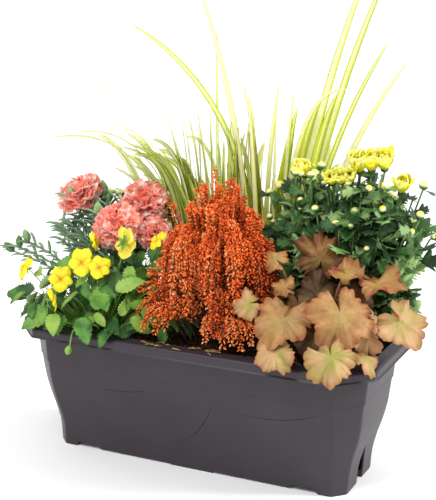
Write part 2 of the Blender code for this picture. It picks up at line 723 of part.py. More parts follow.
def make_heather(group, cutters):
    orange = material("heather_orange", (0.62, 0.14, 0.02), 0.85)
    bush = make_bush("heather_bush", HEATHER_CENTRE, HEATHER_LEVELS, 7, 0.06, orange, group)
    for i, tip in enumerate(HEATHER_SPIKES):
        tip = np.array(tip)
        core = np.array((*HEATHER_CENTRE, HEATHER_CORE))
        droops = tip[2] < HEATHER_CORE
        foot = core + (tip - core) * np.array((0.45, 0.45, 0.0 if droops else 0.35))
        bend = foot + (tip - foot) * np.array((0.95, 0.95, 0.10) if droops else (0.65, 0.65, 0.40))
        t = np.linspace(0, 1, 6)
        path, tangent = bezier((foot, bend, tip), t)
        rings = []
        for k in range(6):
            side = np.cross(tangent[k], (0.7, -0.2, 0.15))
            side = side / np.linalg.norm(side)
            other = np.cross(tangent[k], side)
            radius = HEATHER_SPIKE_RADIUS * (1 - 0.75 * t[k])
            angles = np.arange(5) * math.pi * 0.4
            rings.append([path[k] + (side * math.cos(a) + other * math.sin(a)) * radius for a in angles])
        spike = add_mesh("heather_spike_%d" % (i + 1), *loft(rings), orange, cutters)
        make_outward(spike)
        hide_cutter(spike)
        boolean(bush, spike, "UNION")
    return bush


def make_grass(group):
    broad = material("broad_variegated_blade", (0.55, 0.62, 0.18), 0.5)
    slender = material("slender_variegated_blade", (0.50, 0.62, 0.22), 0.5)
    for i, (base, tip, lean, rise, width) in enumerate(BROAD_BLADES):
        make_blade("broad_blade_%d" % (i + 1), base, tip, lean, rise, width, BROAD_FACE_TURN, broad, group)
    for i, (base, tip, lean, rise, width) in enumerate(SLENDER_BLADES):
        make_blade(
            "slender_blade_%d" % (i + 1), base, tip, lean, rise, width, SLENDER_FACE_TURN, slender, group
        )


def make_coral_bells(groups):
    caramel = material("coral_bells_leaf", (0.55, 0.33, 0.14), 0.6)
    for name, *spot in CORAL_BELLS_LEAVES:
        heights = thin_dish(-0.10, 0.05, 0.045)
        name = "coral_bells_leaf_" + name
        make_leaf(name, spot, CORAL_BELLS_CROWN, palmate, heights, 0.034, caramel, groups, 21, 2)


def make_violas(groups):
    yellow = material("viola_petal", (0.93, 0.80, 0.02), 0.55)
    green = material("viola_leaf", (0.10, 0.24, 0.05), 0.55)
    for name, *spot in VIOLA_FLOWERS:
        heights = thin_dish(0.12, 0.03, 0.10)
        name = "viola_flower_" + name
        make_leaf(name, spot, VIOLA_CROWN, five_petals, heights, 0.055, yellow, groups, 15, 2)
    for name, *spot in VIOLA_LEAVES:
        heights = thin_dish(0.10, 0.03, 0.07)
        name = "viola_leaf_" + name
        make_leaf(name, spot, VIOLA_CROWN, ovate, heights, 0.045, green, groups, 14, 2)


def make_carnations(groups):
    coral = material("carnation_petal", (0.75, 0.20, 0.15), 0.6)
    green = material("carnation_leaf", (0.14, 0.24, 0.13), 0.6)
    make_bush("carnation_foliage", CARNATION_CROWN, CARNATION_LEVELS, 9, 0.08, green, groups[0])
    for name, *spot in CARNATION_FLOWERS:
        name = "carnation_flower_" + name
        make_head(name, spot, CARNATION_CROWN, CARNATION_LEVELS, frilled, dome(0.45, 0.55), coral, groups)


def make_head(name, spot, centre, levels, shape, heights, finish, groups):
    """A flower head with a short stalk down to just above its plant's leafy mass."""
    hub, radius, azimuth, elevation, roll = spot
    frame = face_frame(azimuth, elevation, roll)
    hub = np.array(hub)
    solid = disc_solid(hub, radius, frame, shape, *heights, 12, 3)
    head = add_mesh(name, *solid, finish, groups[0])
    make_outward(head)
    top = max(level[0] for level in levels)
    foot = np.array((*centre, top)) + (hub - np.array((*centre, top))) * HEAD_STALK_START
    foot[2] = max(foot[2], top + 0.002)
    entry = hub - frame[2] * radius * 0.15
    stalk = make_stalk(name + "_stalk", foot, entry, frame[2], HEAD_STALK_RADIUS, finish, groups[1])
    boolean(head, stalk, "UNION")
    return head


def make_chrysanthemum(groups):
    green = material("chrysanthemum_leaf", (0.06, 0.14, 0.05), 0.6)
    yellow = material("chrysanthemum_petal", (0.93, 0.83, 0.05), 0.55)
    make_bush(
        "chrysanthemum_foliage", CHRYSANTHEMUM_CENTRE, CHRYSANTHEMUM_LEVELS, 11, 0.06, green, groups[0]
    )
    for name, hub, radius, azimuth, elevation in CHRYSANTHEMUM_FLOWERS:
        spot = (hub, radius, azimuth, elevation, 0)
        name = "chrysanthemum_" + name
        levels = CHRYSANTHEMUM_LEVELS
        make_head(name, spot, CHRYSANTHEMUM_CENTRE, levels, frilled, dome(0.6, 0.7), yellow, groups)


def main():
    clear_scene()
    group = collection(COLLECTION)
    cutters = collection(CUTTERS)
    groups = (group, cutters)
    make_trough(group, cutters)
    make_soil(group, cutters)
    make_grass(group)
    make_heather(group, cutters)
    make_coral_bells(groups)
    make_violas(groups)
    make_carnations(groups)
    make_chrysanthemum(groups)


main()
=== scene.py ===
"""Looks of the planted window box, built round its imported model.

Metres, +Z up; X runs along the box and -Y is its front. The layout values below are the ones
that the solid model uses, so each detailed plant piece stands where its plain solid stands.
"""
import math

import bmesh
import bpy
import numpy as np
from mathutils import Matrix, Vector


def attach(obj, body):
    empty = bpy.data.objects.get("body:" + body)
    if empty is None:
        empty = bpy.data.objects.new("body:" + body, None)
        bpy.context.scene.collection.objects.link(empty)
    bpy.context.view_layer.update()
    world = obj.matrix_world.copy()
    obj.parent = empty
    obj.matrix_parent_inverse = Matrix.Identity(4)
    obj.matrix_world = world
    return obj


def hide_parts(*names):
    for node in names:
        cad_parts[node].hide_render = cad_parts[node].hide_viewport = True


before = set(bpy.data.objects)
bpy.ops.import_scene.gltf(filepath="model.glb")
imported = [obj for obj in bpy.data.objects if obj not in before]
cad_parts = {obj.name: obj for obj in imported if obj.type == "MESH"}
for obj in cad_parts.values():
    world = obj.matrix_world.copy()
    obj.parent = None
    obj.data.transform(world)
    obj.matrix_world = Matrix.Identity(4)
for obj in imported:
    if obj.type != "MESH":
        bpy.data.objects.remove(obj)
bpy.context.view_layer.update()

# ---- layout ---------------------------------------------------------------------------------

RIM = (0.250, 0.110, 0.041)         # half length, half width and 45 degree corner leg of the rim
RIM_TOP = 0.178
RIM_SKIRT = 0.013
RIM_ROUND = 0.004
WALL = 0.0025
FLOOR_TOP = 0.0095
FLOOR_UNDERSIDE = 0.0065
BAND_HEIGHT = 0.127
BAND_STEP = 0.0010
# past the rim's flange: half length, half width and corner leg of its bead
FLANGE_BEAD = ((0.2375, 0.0935, 0.0360), (0.2366, 0.0926, 0.0355), (0.2357, 0.0917, 0.0350))
CREASE = 32.0                       # degrees; sharper edges of the box are not shaded round
# height, half length, half width and corner leg of the body, from the feet up
BODY_SECTIONS = (
    (0.000, 0.2090, 0.0620, 0.0155),
    (0.030, 0.2120, 0.0645, 0.0185),
    (0.050, 0.2165, 0.0695, 0.0210),
    (0.070, 0.2225, 0.0755, 0.0245),
    (0.090, 0.2270, 0.0810, 0.0275),
    (0.115, 0.2300, 0.0855, 0.0295),
    (0.140, 0.2330, 0.0885, 0.0320),
    (0.178, 0.2360, 0.0915, 0.0350),
)
PAD_HALF = 0.030
PLINTH_RAISE = 0.0022
NOTCH_FROM, NOTCH_TO, NOTCH_HEIGHT = 0.142, 0.173, 0.0062
NICHE_WIDTH, NICHE_HEIGHT, NICHE_DEPTH, NICHE_SPRING = 0.021, 0.050, 0.013, 0.020
FRONT_ARCS = (
    ((-0.120, 0.099), (-0.050, 0.108), -0.0030),
    ((0.074, 0.099), (0.194, 0.120), -0.0095),
    ((0.042, 0.109), (-0.005, 0.042), 0.0062),
)
ARC_HALF_WIDTH, ARC_DEPTH, ARC_CLEAR = 0.0013, 0.0014, 0.004
POCKET_FROM, POCKET_TO, POCKET_HALF_WIDTH = 0.036, 0.136, 0.054
CUT_BELOW = -0.01                   # cutters start this far under the box
SOIL_TOP = 0.166

# hub, radius, azimuth and elevation of the face, roll of the midrib
CORAL_BELLS_CROWN = (0.168, -0.042)
CORAL_BELLS_LEAVES = (
    ("upright", (0.159, -0.024, 0.293), 0.035, 20, 12, -4),
    ("left_back", (0.110, -0.050, 0.294), 0.019, 5, 40, -60),
    ("right_back", (0.201, -0.050, 0.286), 0.028, 30, 78, 120),
    ("right_middle", (0.234, -0.030, 0.272), 0.034, 30, 78, 110),
    ("large_front", (0.211, -0.093, 0.250), 0.041, 25, 38, 170),
    ("right_end", (0.270, -0.052, 0.236), 0.035, 38, 40, 140),
    ("large_left", (0.142, -0.098, 0.236), 0.041, 18, 52, 205),
    ("olive_left", (0.088, -0.082, 0.243), 0.022, 12, 42, -112),
    ("rim_left", (0.142, -0.128, 0.203), 0.026, 12, 50, 190),
    ("rim_right", (0.216, -0.137, 0.211), 0.030, 22, 44, 178),
)
# how far each of those leaves has turned from brown (0) to caramel (1) and olive (over 1)
CORAL_BELLS_TONES = (0.30, 0.62, 0.55, 0.62, 0.68, 1.22, 0.72, 1.30, 1.36, 1.34)
CORAL_BELLS_INNER = (
    # young and shaded leaves between the large ones: hub, radius, azimuth, elevation, roll, tone; the low,
    # dark brown tones of the inner ones are partly the young leaves' own colour and partly painted shade
    ((0.166, -0.052, 0.256), 0.030, 25, 20, 10, 0.02),
    ((0.190, -0.064, 0.240), 0.030, 30, 40, 200, 0.05),
    ((0.148, -0.066, 0.246), 0.026, 0, 30, 150, 0.10),
    ((0.126, -0.058, 0.262), 0.017, 30, 45, -70, 0.55),
    ((0.210, -0.036, 0.256), 0.028, 40, 50, 60, 0.12),
    ((0.236, -0.074, 0.222), 0.026, 60, 40, 150, 0.80),
    ((0.176, -0.080, 0.214), 0.026, 20, 50, 180, 0.06),
    ((0.112, -0.062, 0.222), 0.026, -30, 50, 230, 0.20),
    ((0.182, -0.020, 0.246), 0.026, 150, 50, 180, 0.70),
    ((0.222, -0.020, 0.238), 0.028, 120, 45, 170, 1.10),
    ((0.240, -0.090, 0.200), 0.022, 70, 60, 160, 1.20),
)
VIOLA_CROWN = (-0.150, -0.040)
VIOLA_FLOWERS = (
    ("left_end", (-0.258, -0.050, 0.238), 0.016, -40, 10, 0),
    ("front_left", (-0.176, -0.088, 0.243), 0.017, 20, 20, 0),
    ("middle", (-0.150, -0.078, 0.266), 0.018, 20, 15, -10),
    ("right", (-0.122, -0.080, 0.263), 0.015, 25, 20, 20),
    ("low_front", (-0.176, -0.110, 0.221), 0.015, 120, 0, 0),
    ("tall_bud", (-0.156, -0.036, 0.284), 0.012, 100, 0, 0),
    ("right_nodding", (-0.098, -0.056, 0.292), 0.019, 30, -20, 0),
    ("beside_heather", (-0.060, -0.036, 0.295), 0.013, -30, 25, 5),
)
VIOLA_LEAVES = (
    ("left_end", (-0.262, -0.058, 0.202), 0.022, -10, 60, -80),
    ("large_front_left", (-0.196, -0.096, 0.194), 0.026, 10, 50, 230),
    ("front_left", (-0.168, -0.122, 0.198), 0.017, 20, 55, 170),
    ("front_right", (-0.125, -0.120, 0.197), 0.020, 20, 45, 160),
    ("middle_dark", (-0.118, -0.088, 0.222), 0.024, 20, 45, 20),
    ("right", (-0.088, -0.076, 0.240), 0.020, 10, 50, 60),
    ("back_left", (-0.205, -0.020, 0.238), 0.020, -10, 50, -50),
)
CARNATION_CROWN = (-0.165, 0.034)
CARNATION_FLOWERS = (
    ("left", (-0.218, 0.034, 0.330), 0.024, -25, 55),
    ("front", (-0.134, -0.008, 0.302), 0.025, 10, 35),
    ("top", (-0.121, 0.038, 0.326), 0.025, 25, 45),
    ("right", (-0.090, 0.012, 0.290), 0.018, 45, 20),
)
CARNATION_BUDS = (
    # foot of the bud, the way it points and its length
    ((-0.226, 0.022, 0.324), (-0.1, 0.0, 1.0), 0.019),
    ((-0.193, 0.050, 0.322), (0.0, 0.0, 1.0), 0.027),
    ((-0.173, 0.004, 0.310), (0.05, -0.1, 1.0), 0.020),
    ((-0.204, 0.030, 0.318), (0.2, 0.0, 1.0), 0.016),
    ((-0.183, 0.045, 0.318), (0.3, 0.0, 1.0), 0.019),
    ((-0.325, 0.020, 0.239), (-0.8, 0.0, 0.55), 0.020),
    ((-0.314, 0.020, 0.246), (-0.1, 0.0, 1.0), 0.018),
    ((-0.299, 0.020, 0.256), (-0.4, 0.0, 1.0), 0.019),
)
# foot, tip, sideways and upward share of the bend, half width
BROAD_BLADES = (
    ((0.030, 0.066), (-0.076, 0.092, 0.640), 0.06, 0.60, 0.0095),
    ((0.036, 0.076), (-0.162, 0.086, 0.560), -0.04, 0.76, 0.0080),
    ((0.042, 0.062), (0.022, 0.064, 0.480), 0.30, 0.55, 0.0075),
    ((0.050, 0.074), (0.000, 0.094, 0.490), 0.15, 0.60, 0.0085),
    ((0.058, 0.064), (0.058, 0.072, 0.456), 0.40, 0.55, 0.0100),
    ((0.068, 0.062), (0.155, 0.066, 0.490), 0.04, 1.02, 0.0060),
    ((0.066, 0.074), (0.178, 0.088, 0.655), 0.24, 0.55, 0.0100),
    ((0.074, 0.084), (0.198, 0.106, 0.650), 0.24, 0.55, 0.0095),
    ((0.082, 0.068), (0.205, 0.074, 0.550), 0.25, 0.62, 0.0070),
    ((0.092, 0.078), (0.228, 0.092, 0.530), 0.22, 0.62, 0.0080),
)
SLENDER_BLADES = (
    ((-0.078, 0.068), (-0.250, 0.066, 0.545), 0.10, 0.50, 0.0030),
    ((-0.070, 0.062), (-0.290, 0.064, 0.398), 0.10, 1.22, 0.0040),
    ((-0.066, 0.082), (-0.262, 0.092, 0.405), 0.15, 1.15, 0.0035),
    ((-0.054, 0.071), (-0.180, 0.078, 0.392), 0.10, 1.00, 0.0065),
    ((-0.046, 0.084), (-0.212, 0.104, 0.415), 0.20, 1.05, 0.0035),
    ((-0.038, 0.066), (-0.112, 0.072, 0.460), 0.20, 0.60, 0.0060),
    ((-0.028, 0.078), (-0.036, 0.090, 0.565), 0.40, 0.50, 0.0035),
    ((-0.018, 0.068), (-0.062, 0.074, 0.470), 0.30, 0.60, 0.0060),
)
BROAD_FACE_TURN = 68.0
SLENDER_FACE_TURN = 45.0
HEATHER_CENTRE = (0.030, -0.034)
HEATHER_TIPS = (
    (0.014, -0.020, 0.392),
    (-0.014, -0.016, 0.364),
    (-0.042, -0.030, 0.346),
    (0.026, -0.040, 0.362),
    (0.044, -0.016, 0.374),
    (0.078, -0.024, 0.340),
)
HEATHER_SIDE_TIPS = (
    # low spikes that lean out over the soil and the front rim
    (-0.060, -0.074, 0.222), (-0.064, -0.086, 0.208), (-0.050, -0.090, 0.200), (-0.036, -0.094, 0.190),
    (-0.044, -0.080, 0.232), (-0.030, -0.086, 0.214), (-0.054, -0.094, 0.192), (-0.070, -0.070, 0.236),
    (-0.052, -0.066, 0.246), (-0.038, -0.072, 0.248), (-0.024, -0.090, 0.196), (-0.060, -0.060, 0.262),
    (-0.048, -0.060, 0.276), (-0.064, -0.052, 0.252), (-0.040, -0.066, 0.262), (-0.054, -0.072, 0.236),
    (0.038, -0.100, 0.190), (0.050, -0.098, 0.198), (0.062, -0.100, 0.186), (0.074, -0.098, 0.192),
    (0.086, -0.098, 0.186), (0.098, -0.094, 0.194), (0.104, -0.088, 0.206), (0.068, -0.086, 0.214),
)
CHRYSANTHEMUM_CENTRE = (0.172, 0.028)
CHRYSANTHEMUM_FLOWERS = (
    ("bloom_high", (0.199, 0.040, 0.408), 0.021, 10, 60),
    ("bloom_middle", (0.166, 0.024, 0.390), 0.015, 0, 50),
    ("bloom_right", (0.240, 0.036, 0.384), 0.013, 30, 60),
    ("bloom_left", (0.108, 0.044, 0.392), 0.013, -10, 60),
    ("buds_left", (0.120, 0.020, 0.384), 0.012, -20, 50),
)
BUD_SHAPE = ((0, 0.12), (0.10, 0.34), (0.30, 0.50), (0.55, 0.55), (0.80, 0.44), (0.95, 0.24), (1.0, 0.05))
DAISY_BUDS = (
    # centre and width of the larger buds and half-open heads
    ((0.075, 0.050, 0.365), 0.011), ((0.098, 0.040, 0.365), 0.012), ((0.060, 0.050, 0.355), 0.009),
    ((0.088, 0.060, 0.383), 0.010), ((0.110, 0.050, 0.370), 0.011), ((0.115, 0.060, 0.386), 0.012),
    ((0.125, 0.060, 0.392), 0.011), ((0.140, 0.050, 0.376), 0.010), ((0.145, 0.040, 0.364), 0.011),
    ((0.147, 0.030, 0.354), 0.009), ((0.136, 0.030, 0.348), 0.008), ((0.196, 0.040, 0.365), 0.014),
    ((0.210, 0.050, 0.374), 0.012), ((0.225, 0.045, 0.366), 0.010), ((0.212, 0.030, 0.355), 0.012),
    ((0.186, 0.020, 0.345), 0.012), ((0.167, 0.010, 0.331), 0.011), ((0.265, 0.030, 0.348), 0.010),
    ((0.262, 0.050, 0.380), 0.011), ((0.210, 0.000, 0.308), 0.007),
)
HEATHER_SPIKES, CREST_SPIKES = 150, 80
HEATHER_BARE = 0.32                 # share of a spike, from its foot, that has no bells
BELL_LENGTH, WHORL_PITCH, WHORL_RADIUS = 0.0043, 0.0030, 0.0026
FALLEN_TWIGS = 16
UNDERLEAVES, DARK_LEAVES = 120, 22
DARK_LEAVES_AT, DARK_LEAVES_TOP = (-0.066, -0.022, 0.264), 0.272
CARNATION_SHOOTS, CHRYSANTHEMUM_SHOOTS = 34, 44
# radii of the stalks and stems
CORAL_BELLS_STALK, CORAL_BELLS_YOUNG_STALK = 0.0013, 0.0011
VIOLA_STEM, VIOLA_LEAF_STALK = 0.0007, 0.0008
CARNATION_STEM, CARNATION_SHOOT = 0.0012, 0.0011
CHRYSANTHEMUM_STEM = 0.0012
GOLDEN_TURN = 2.399963              # spreads leaves and shoots evenly round a crown
LEAF_THICKNESS = 0.0007
BLADE_THICKNESS = 0.0006
PETAL_THICKNESS = 0.0005
THIN_PETAL = 0.0004
CAMERA_AIM = (0.0085, 0.0, 0.2825)
CAMERA_TURN, CAMERA_RISE, CAMERA_DISTANCE, CAMERA_LENS = 25.6, 14.4, 1.565, 87.1

# ---- finishes -------------------------------------------------------------------------------


def linear(code):
    """An sRGB hex colour as linear RGBA."""
    parts = [int(code[i:i + 2], 16) / 255 for i in (1, 3, 5)]
    return [c / 12.92 if c <= 0.04045 else ((c + 0.055) / 1.055) ** 2.4 for c in parts] + [1.0]


def add(tree, kind, sockets=None, stops=None, out=0, **settings):
    """Adds a node and gives one output. Sockets take a constant, a hex colour or a link; stops
    fill a colour ramp."""
    made = tree.nodes.new("ShaderNode" + kind)
    for key, value in settings.items():
        setattr(made, key, value)
    for key, value in (sockets or {}).items():
        if isinstance(value, bpy.types.NodeSocket):
            tree.links.new(value, made.inputs[key])
        elif isinstance(value, str):
            made.inputs[key].default_value = linear(value)
        else:
            made.inputs[key].default_value = value
    for i, (place, code) in enumerate(stops or ()):
        slots = made.color_ramp.elements
        stop = slots[i] if i < 2 else slots.new(place)
        stop.position = place
        stop.color = linear(code)
    return made.outputs[out]


def finish(name, roughness, **constants):
    """A new material with its shader: (material, node tree, shader)."""
    made = bpy.data.materials.new(name)
    made.use_nodes = True
    tree = made.node_tree
    shader = tree.nodes["Principled BSDF"]
    shader.inputs["Roughness"].default_value = roughness
    for key, value in constants.items():
        shader.inputs[key.replace("_", " ")].default_value = value
    return made, tree, shader


def glow(weight, radius):
    """Shader settings of thin growth that light shines into, by red, green and blue share."""
    return {"Subsurface_Weight": weight, "Subsurface_Radius": radius, "Subsurface_Scale": 0.006}


def bumped(tree, shader, height, depth):
    """Feeds a height to the shader as a bump of so many metres."""
    relief = add(tree, "Bump", {"Height": height, "Distance": depth, "Strength": 1.0})
    tree.links.new(relief, shader.inputs["Normal"])


def moulded_polypropylene():
    """Injection-moulded polypropylene, anthracite: an even satin with a fine spark-eroded grain
    and faint cloudy patches where the melt cooled."""
    made, tree, shader = finish("moulded_polypropylene", 0.42, Specular_IOR_Level=0.32)
    place = add(tree, "TexCoord", out="Object")
    cloud = add(tree, "TexNoise", {"Vector": place, "Scale": 14.0, "Detail": 3.0})
    tint = add(tree, "ValToRGB", {"Fac": cloud}, stops=((0.30, "#312b31"), (0.72, "#383138")))
    # the real grain is 0.2 mm, drawn at 0.8 mm so that it shows
    grain = add(tree, "TexNoise", {"Vector": place, "Scale": 1250.0, "Detail": 2.0})
    fleck = add(tree, "ValToRGB", {"Fac": grain}, stops=((0.35, "#e4e4e4"), (0.65, "#ffffff")))
    colour = add(tree, "MixRGB", {"Fac": 0.5, 1: tint, 2: fleck}, blend_type="MULTIPLY")
    tree.links.new(colour, shader.inputs["Base Color"])
    bumped(tree, shader, grain, 0.00012)
    return made


def fibrous_compost():
    """Peat compost: near-black crumbs with brown fibres and pale bark flecks, fully matt."""
    made, tree, shader = finish("fibrous_compost", 0.95, Specular_IOR_Level=0.2)
    place = add(tree, "TexCoord", out="Object")
    stretch = add(tree, "Mapping", {"Vector": place, "Scale": (1.0, 2.6, 1.0), "Rotation": (0, 0, 0.7)})
    crumb = add(tree, "TexNoise", {"Vector": stretch, "Scale": 260.0, "Detail": 6.0, "Roughness": 0.7})
    stops = ((0.30, "#0d0704"), (0.52, "#2c190d"), (0.66, "#5c3b1f"), (0.76, "#a5824c"))
    tint = add(tree, "ValToRGB", {"Fac": crumb}, stops=stops)
    tree.links.new(tint, shader.inputs["Base Color"])
    bumped(tree, shader, crumb, 0.003)
    return made


def grain_parts(tree):
    """Place on the leaf (across, along, tone), the same three apart, and whether it is underneath."""
    field = add(tree, "Attribute", out="Vector", attribute_name="grain")
    split = add(tree, "SeparateXYZ", {0: field}).node.outputs
    under = add(tree, "Attribute", out="Fac", attribute_name="under")
    return field, split[0], split[1], split[2], under


def variegated_blade(name, pale, edge, dark):
    """Striped grass: a cream band along the blade, lime beside it and green edges, with fine
    lengthwise veins; light shines through the thin blades."""
    made, tree, shader = finish(name, 0.45, **glow(0.5, (0.8, 1.0, 0.4)))
    field, across, along, tone, _ = grain_parts(tree)
    wide = add(tree, "Math", {0: across}, operation="ABSOLUTE")
    wide = add(tree, "Math", {0: across, 1: 0.26, 2: wide}, operation="MULTIPLY_ADD")
    stretch = add(tree, "VectorMath", {0: field, 1: (5.0, 0.6, 9.0)}, operation="MULTIPLY")
    streak = add(tree, "TexNoise", {"Vector": stretch, "Scale": 2.2, "Detail": 3.0})
    shift = add(tree, "Math", {0: streak, 1: 0.60, 2: -0.30}, operation="MULTIPLY_ADD")
    drift = add(tree, "Math", {0: tone, 1: 0.70, 2: -0.42}, operation="MULTIPLY_ADD")
    moved = add(tree, "Math", {0: wide, 1: shift}, operation="ADD")
    moved = add(tree, "Math", {0: moved, 1: drift}, operation="ADD")
    stops = ((0.20, pale), (0.42, pale), (0.50, edge), (0.86, edge), (0.94, dark))
    tint = add(tree, "ValToRGB", {"Fac": moved}, stops=stops)
    foot = add(tree, "ValToRGB", {"Fac": along}, stops=((0.0, "#c2d44c"), (0.30, "#ffffff")))
    colour = add(tree, "MixRGB", {"Fac": 0.85, 1: tint, 2: foot}, blend_type="MULTIPLY")
    tree.links.new(colour, shader.inputs["Base Color"])
    fine = add(tree, "VectorMath", {0: field, 1: (16.0, 0.2, 3.0)}, operation="MULTIPLY")
    rib = add(tree, "TexNoise", {"Vector": fine, "Scale": 1.0, "Detail": 1.0})
    bumped(tree, shader, rib, 0.0004)
    return made


def heather_bells():
    """Heather calyces: dry papery bells, rust at the back, vivid orange in front, straw when old."""
    made, tree, shader = finish("heather_bells", 0.75, Specular_IOR_Level=0.25)
    _, _, along, tone, _ = grain_parts(tree)
    stops = (
        (0.0, "#3a1608"), (0.12, "#7a2c0b"), (0.32, "#bf4510"), (0.48, "#e9641e"),
        (0.66, "#fa8a45"), (0.80, "#ffb075"), (0.90, "#dcb47c"), (1.0, "#a8834c"),
    )
    tip = add(tree, "Math", {0: along, 1: 0.24, 2: -0.10}, operation="MULTIPLY_ADD")
    moved = add(tree, "Math", {0: tone, 1: tip}, operation="ADD")
    tint = add(tree, "ValToRGB", {"Fac": moved}, stops=stops)
    tree.links.new(tint, shader.inputs["Base Color"])
    return made


def plain_growth(name, dark, light, roughness=0.6, size=90.0):
    """Stems, wood and sepals: two close colours in soft patches."""
    made, tree, shader = finish(name, roughness)
    place = add(tree, "TexCoord", out="Object")
    patch = add(tree, "TexNoise", {"Vector": place, "Scale": size, "Detail": 2.0})
    tint = add(tree, "ValToRGB", {"Fac": patch}, stops=((0.35, dark), (0.65, light)))
    tree.links.new(tint, shader.inputs["Base Color"])
    return made


def coral_bells_leaf():
    """Coral bells leaf: caramel with olive at the heart, fine pale veins and coppery margins; a
    downy matt skin above and a rose skin below."""
    made, tree, shader = finish("coral_bells_leaf", 0.6, Specular_IOR_Level=0.35)
    _, vein, reach, tone, under = grain_parts(tree)
    place = add(tree, "TexCoord", out="Object")
    patch = add(tree, "TexNoise", {"Vector": place, "Scale": 55.0, "Detail": 5.0, "Roughness": 0.65})
    drift = add(tree, "Math", {0: patch, 1: 1.20, 2: -0.62}, operation="MULTIPLY_ADD")
    half = add(tree, "Math", {0: tone, 1: drift}, operation="ADD")
    stops = ((0.0, "#3e220e"), (0.22, "#683f1e"), (0.42, "#8c5e30"), (0.66, "#a27646"), (1.0, "#b69064"))
    tint = add(tree, "ValToRGB", {"Fac": half}, stops=stops)
    # olive: strong at the heart of the leaf, gone at its edge, and stronger on the leaves toned over 1
    grown = add(tree, "Math", {0: tone, 1: 1.0}, operation="SUBTRACT")
    grown = add(tree, "Math", {0: grown, 1: 0.0}, operation="MAXIMUM")
    heart = add(tree, "ValToRGB", {"Fac": reach}, stops=((0.05, "#a8a8a8"), (0.85, "#202020")))
    olive = add(tree, "Math", {0: grown, 1: 1.8, 2: heart}, operation="MULTIPLY_ADD")
    fine = add(tree, "TexNoise", {"Vector": place, "Scale": 50.0, "Detail": 3.0})
    break_up = add(tree, "ValToRGB", {"Fac": fine}, stops=((0.38, "#303030"), (0.60, "#ffffff")))
    share = add(tree, "Math", {0: olive, 1: break_up}, operation="MULTIPLY")
    share = add(tree, "Math", {0: share, 1: 0.85}, operation="MINIMUM")
    greened = add(tree, "MixRGB", {"Fac": share, 1: tint, 2: "#85862e"})
    line = add(tree, "ValToRGB", {"Fac": vein}, stops=((0.0, "#ffffff"), (0.07, "#000000")))
    thin = add(tree, "MixRGB", {"Fac": 1.0, 1: line, 2: "#585858"}, blend_type="MULTIPLY")
    veined = add(tree, "MixRGB", {"Fac": thin, 1: greened, 2: "#d8cf9c"})
    rim = add(tree, "ValToRGB", {"Fac": reach}, stops=((0.78, "#ffffff"), (1.0, "#d9794c")))
    edged = add(tree, "MixRGB", {"Fac": 0.55, 1: veined, 2: rim}, blend_type="MULTIPLY")
    below = add(tree, "MixRGB", {"Fac": under, 1: edged, 2: "#c0605a"})
    tree.links.new(below, shader.inputs["Base Color"])
    down = add(tree, "TexNoise", {"Vector": place, "Scale": 700.0, "Detail": 2.0})
    bumped(tree, shader, down, 0.0005)
    return made


def green_leaf(name, dark, mid, light, back, veins, roughness=0.5):
    """A green leaf with a pale midrib and side veins, two tones of green and a paler back."""
    made, tree, shader = finish(name, roughness)
    _, across, along, tone, under = grain_parts(tree)
    wide = add(tree, "Math", {0: across}, operation="ABSOLUTE")
    rib = add(tree, "ValToRGB", {"Fac": wide}, stops=((0.0, "#ffffff"), (0.10, "#000000")))
    lean = add(tree, "Math", {0: wide, 1: -2.4, 2: 0.0}, operation="MULTIPLY_ADD")
    phase = add(tree, "Math", {0: along, 1: veins, 2: lean}, operation="MULTIPLY_ADD")
    turn = add(tree, "Math", {0: phase, 1: 2 * math.pi}, operation="MULTIPLY")
    wave = add(tree, "Math", {0: turn}, operation="SINE")
    side = add(tree, "ValToRGB", {"Fac": wave}, stops=((0.80, "#000000"), (1.0, "#ffffff")))
    both = add(tree, "MixRGB", {"Fac": 0.6, 1: rib, 2: side}, blend_type="ADD")
    place = add(tree, "TexCoord", out="Object")
    patch = add(tree, "TexNoise", {"Vector": place, "Scale": 45.0, "Detail": 3.0})
    moved = add(tree, "Math", {0: tone, 1: 0.8, 2: -0.4}, operation="MULTIPLY_ADD")
    moved = add(tree, "Math", {0: patch, 1: moved}, operation="ADD")
    tint = add(tree, "ValToRGB", {"Fac": moved}, stops=((0.25, dark), (0.5, mid), (0.85, light)))
    share = add(tree, "MixRGB", {"Fac": 1.0, 1: both, 2: "#4c4c4c"}, blend_type="MULTIPLY")
    veined = add(tree, "MixRGB", {"Fac": share, 1: tint, 2: light})
    colour = add(tree, "MixRGB", {"Fac": under, 1: veined, 2: back})
    tree.links.new(colour, shader.inputs["Base Color"])
    bumped(tree, shader, both, 0.0003)
    return made


def viola_petal():
    """Velvety viola petals: clear yellow with fine red-brown guide lines at the throat."""
    made, tree, shader = finish("viola_petal", 0.6, **glow(0.3, (1.0, 1.0, 0.2)))
    _, across, along, tone, under = grain_parts(tree)
    lines = add(tree, "Math", {0: across, 1: 22.0}, operation="MULTIPLY")
    lines = add(tree, "Math", {0: lines}, operation="COSINE")
    fade = add(tree, "ValToRGB", {"Fac": along}, stops=((0.12, "#ffffff"), (0.50, "#000000")))
    thin = add(tree, "ValToRGB", {"Fac": lines}, stops=((0.35, "#000000"), (0.9, "#ffffff")))
    mark = add(tree, "MixRGB", {"Fac": 1.0, 1: fade, 2: thin}, blend_type="MULTIPLY")
    stops = ((0.0, "#eda800"), (0.3, "#fbdf00"), (1.0, "#fff01c"))
    body = add(tree, "ValToRGB", {"Fac": along}, stops=stops)
    share = add(tree, "MixRGB", {"Fac": 1.0, 1: mark, 2: tone}, blend_type="MULTIPLY")
    lined = add(tree, "MixRGB", {"Fac": share, 1: body, 2: "#8a4a10"})
    back = add(tree, "MixRGB", {"Fac": under, 1: lined, 2: "#f6e64e"})
    tree.links.new(back, shader.inputs["Base Color"])
    return made


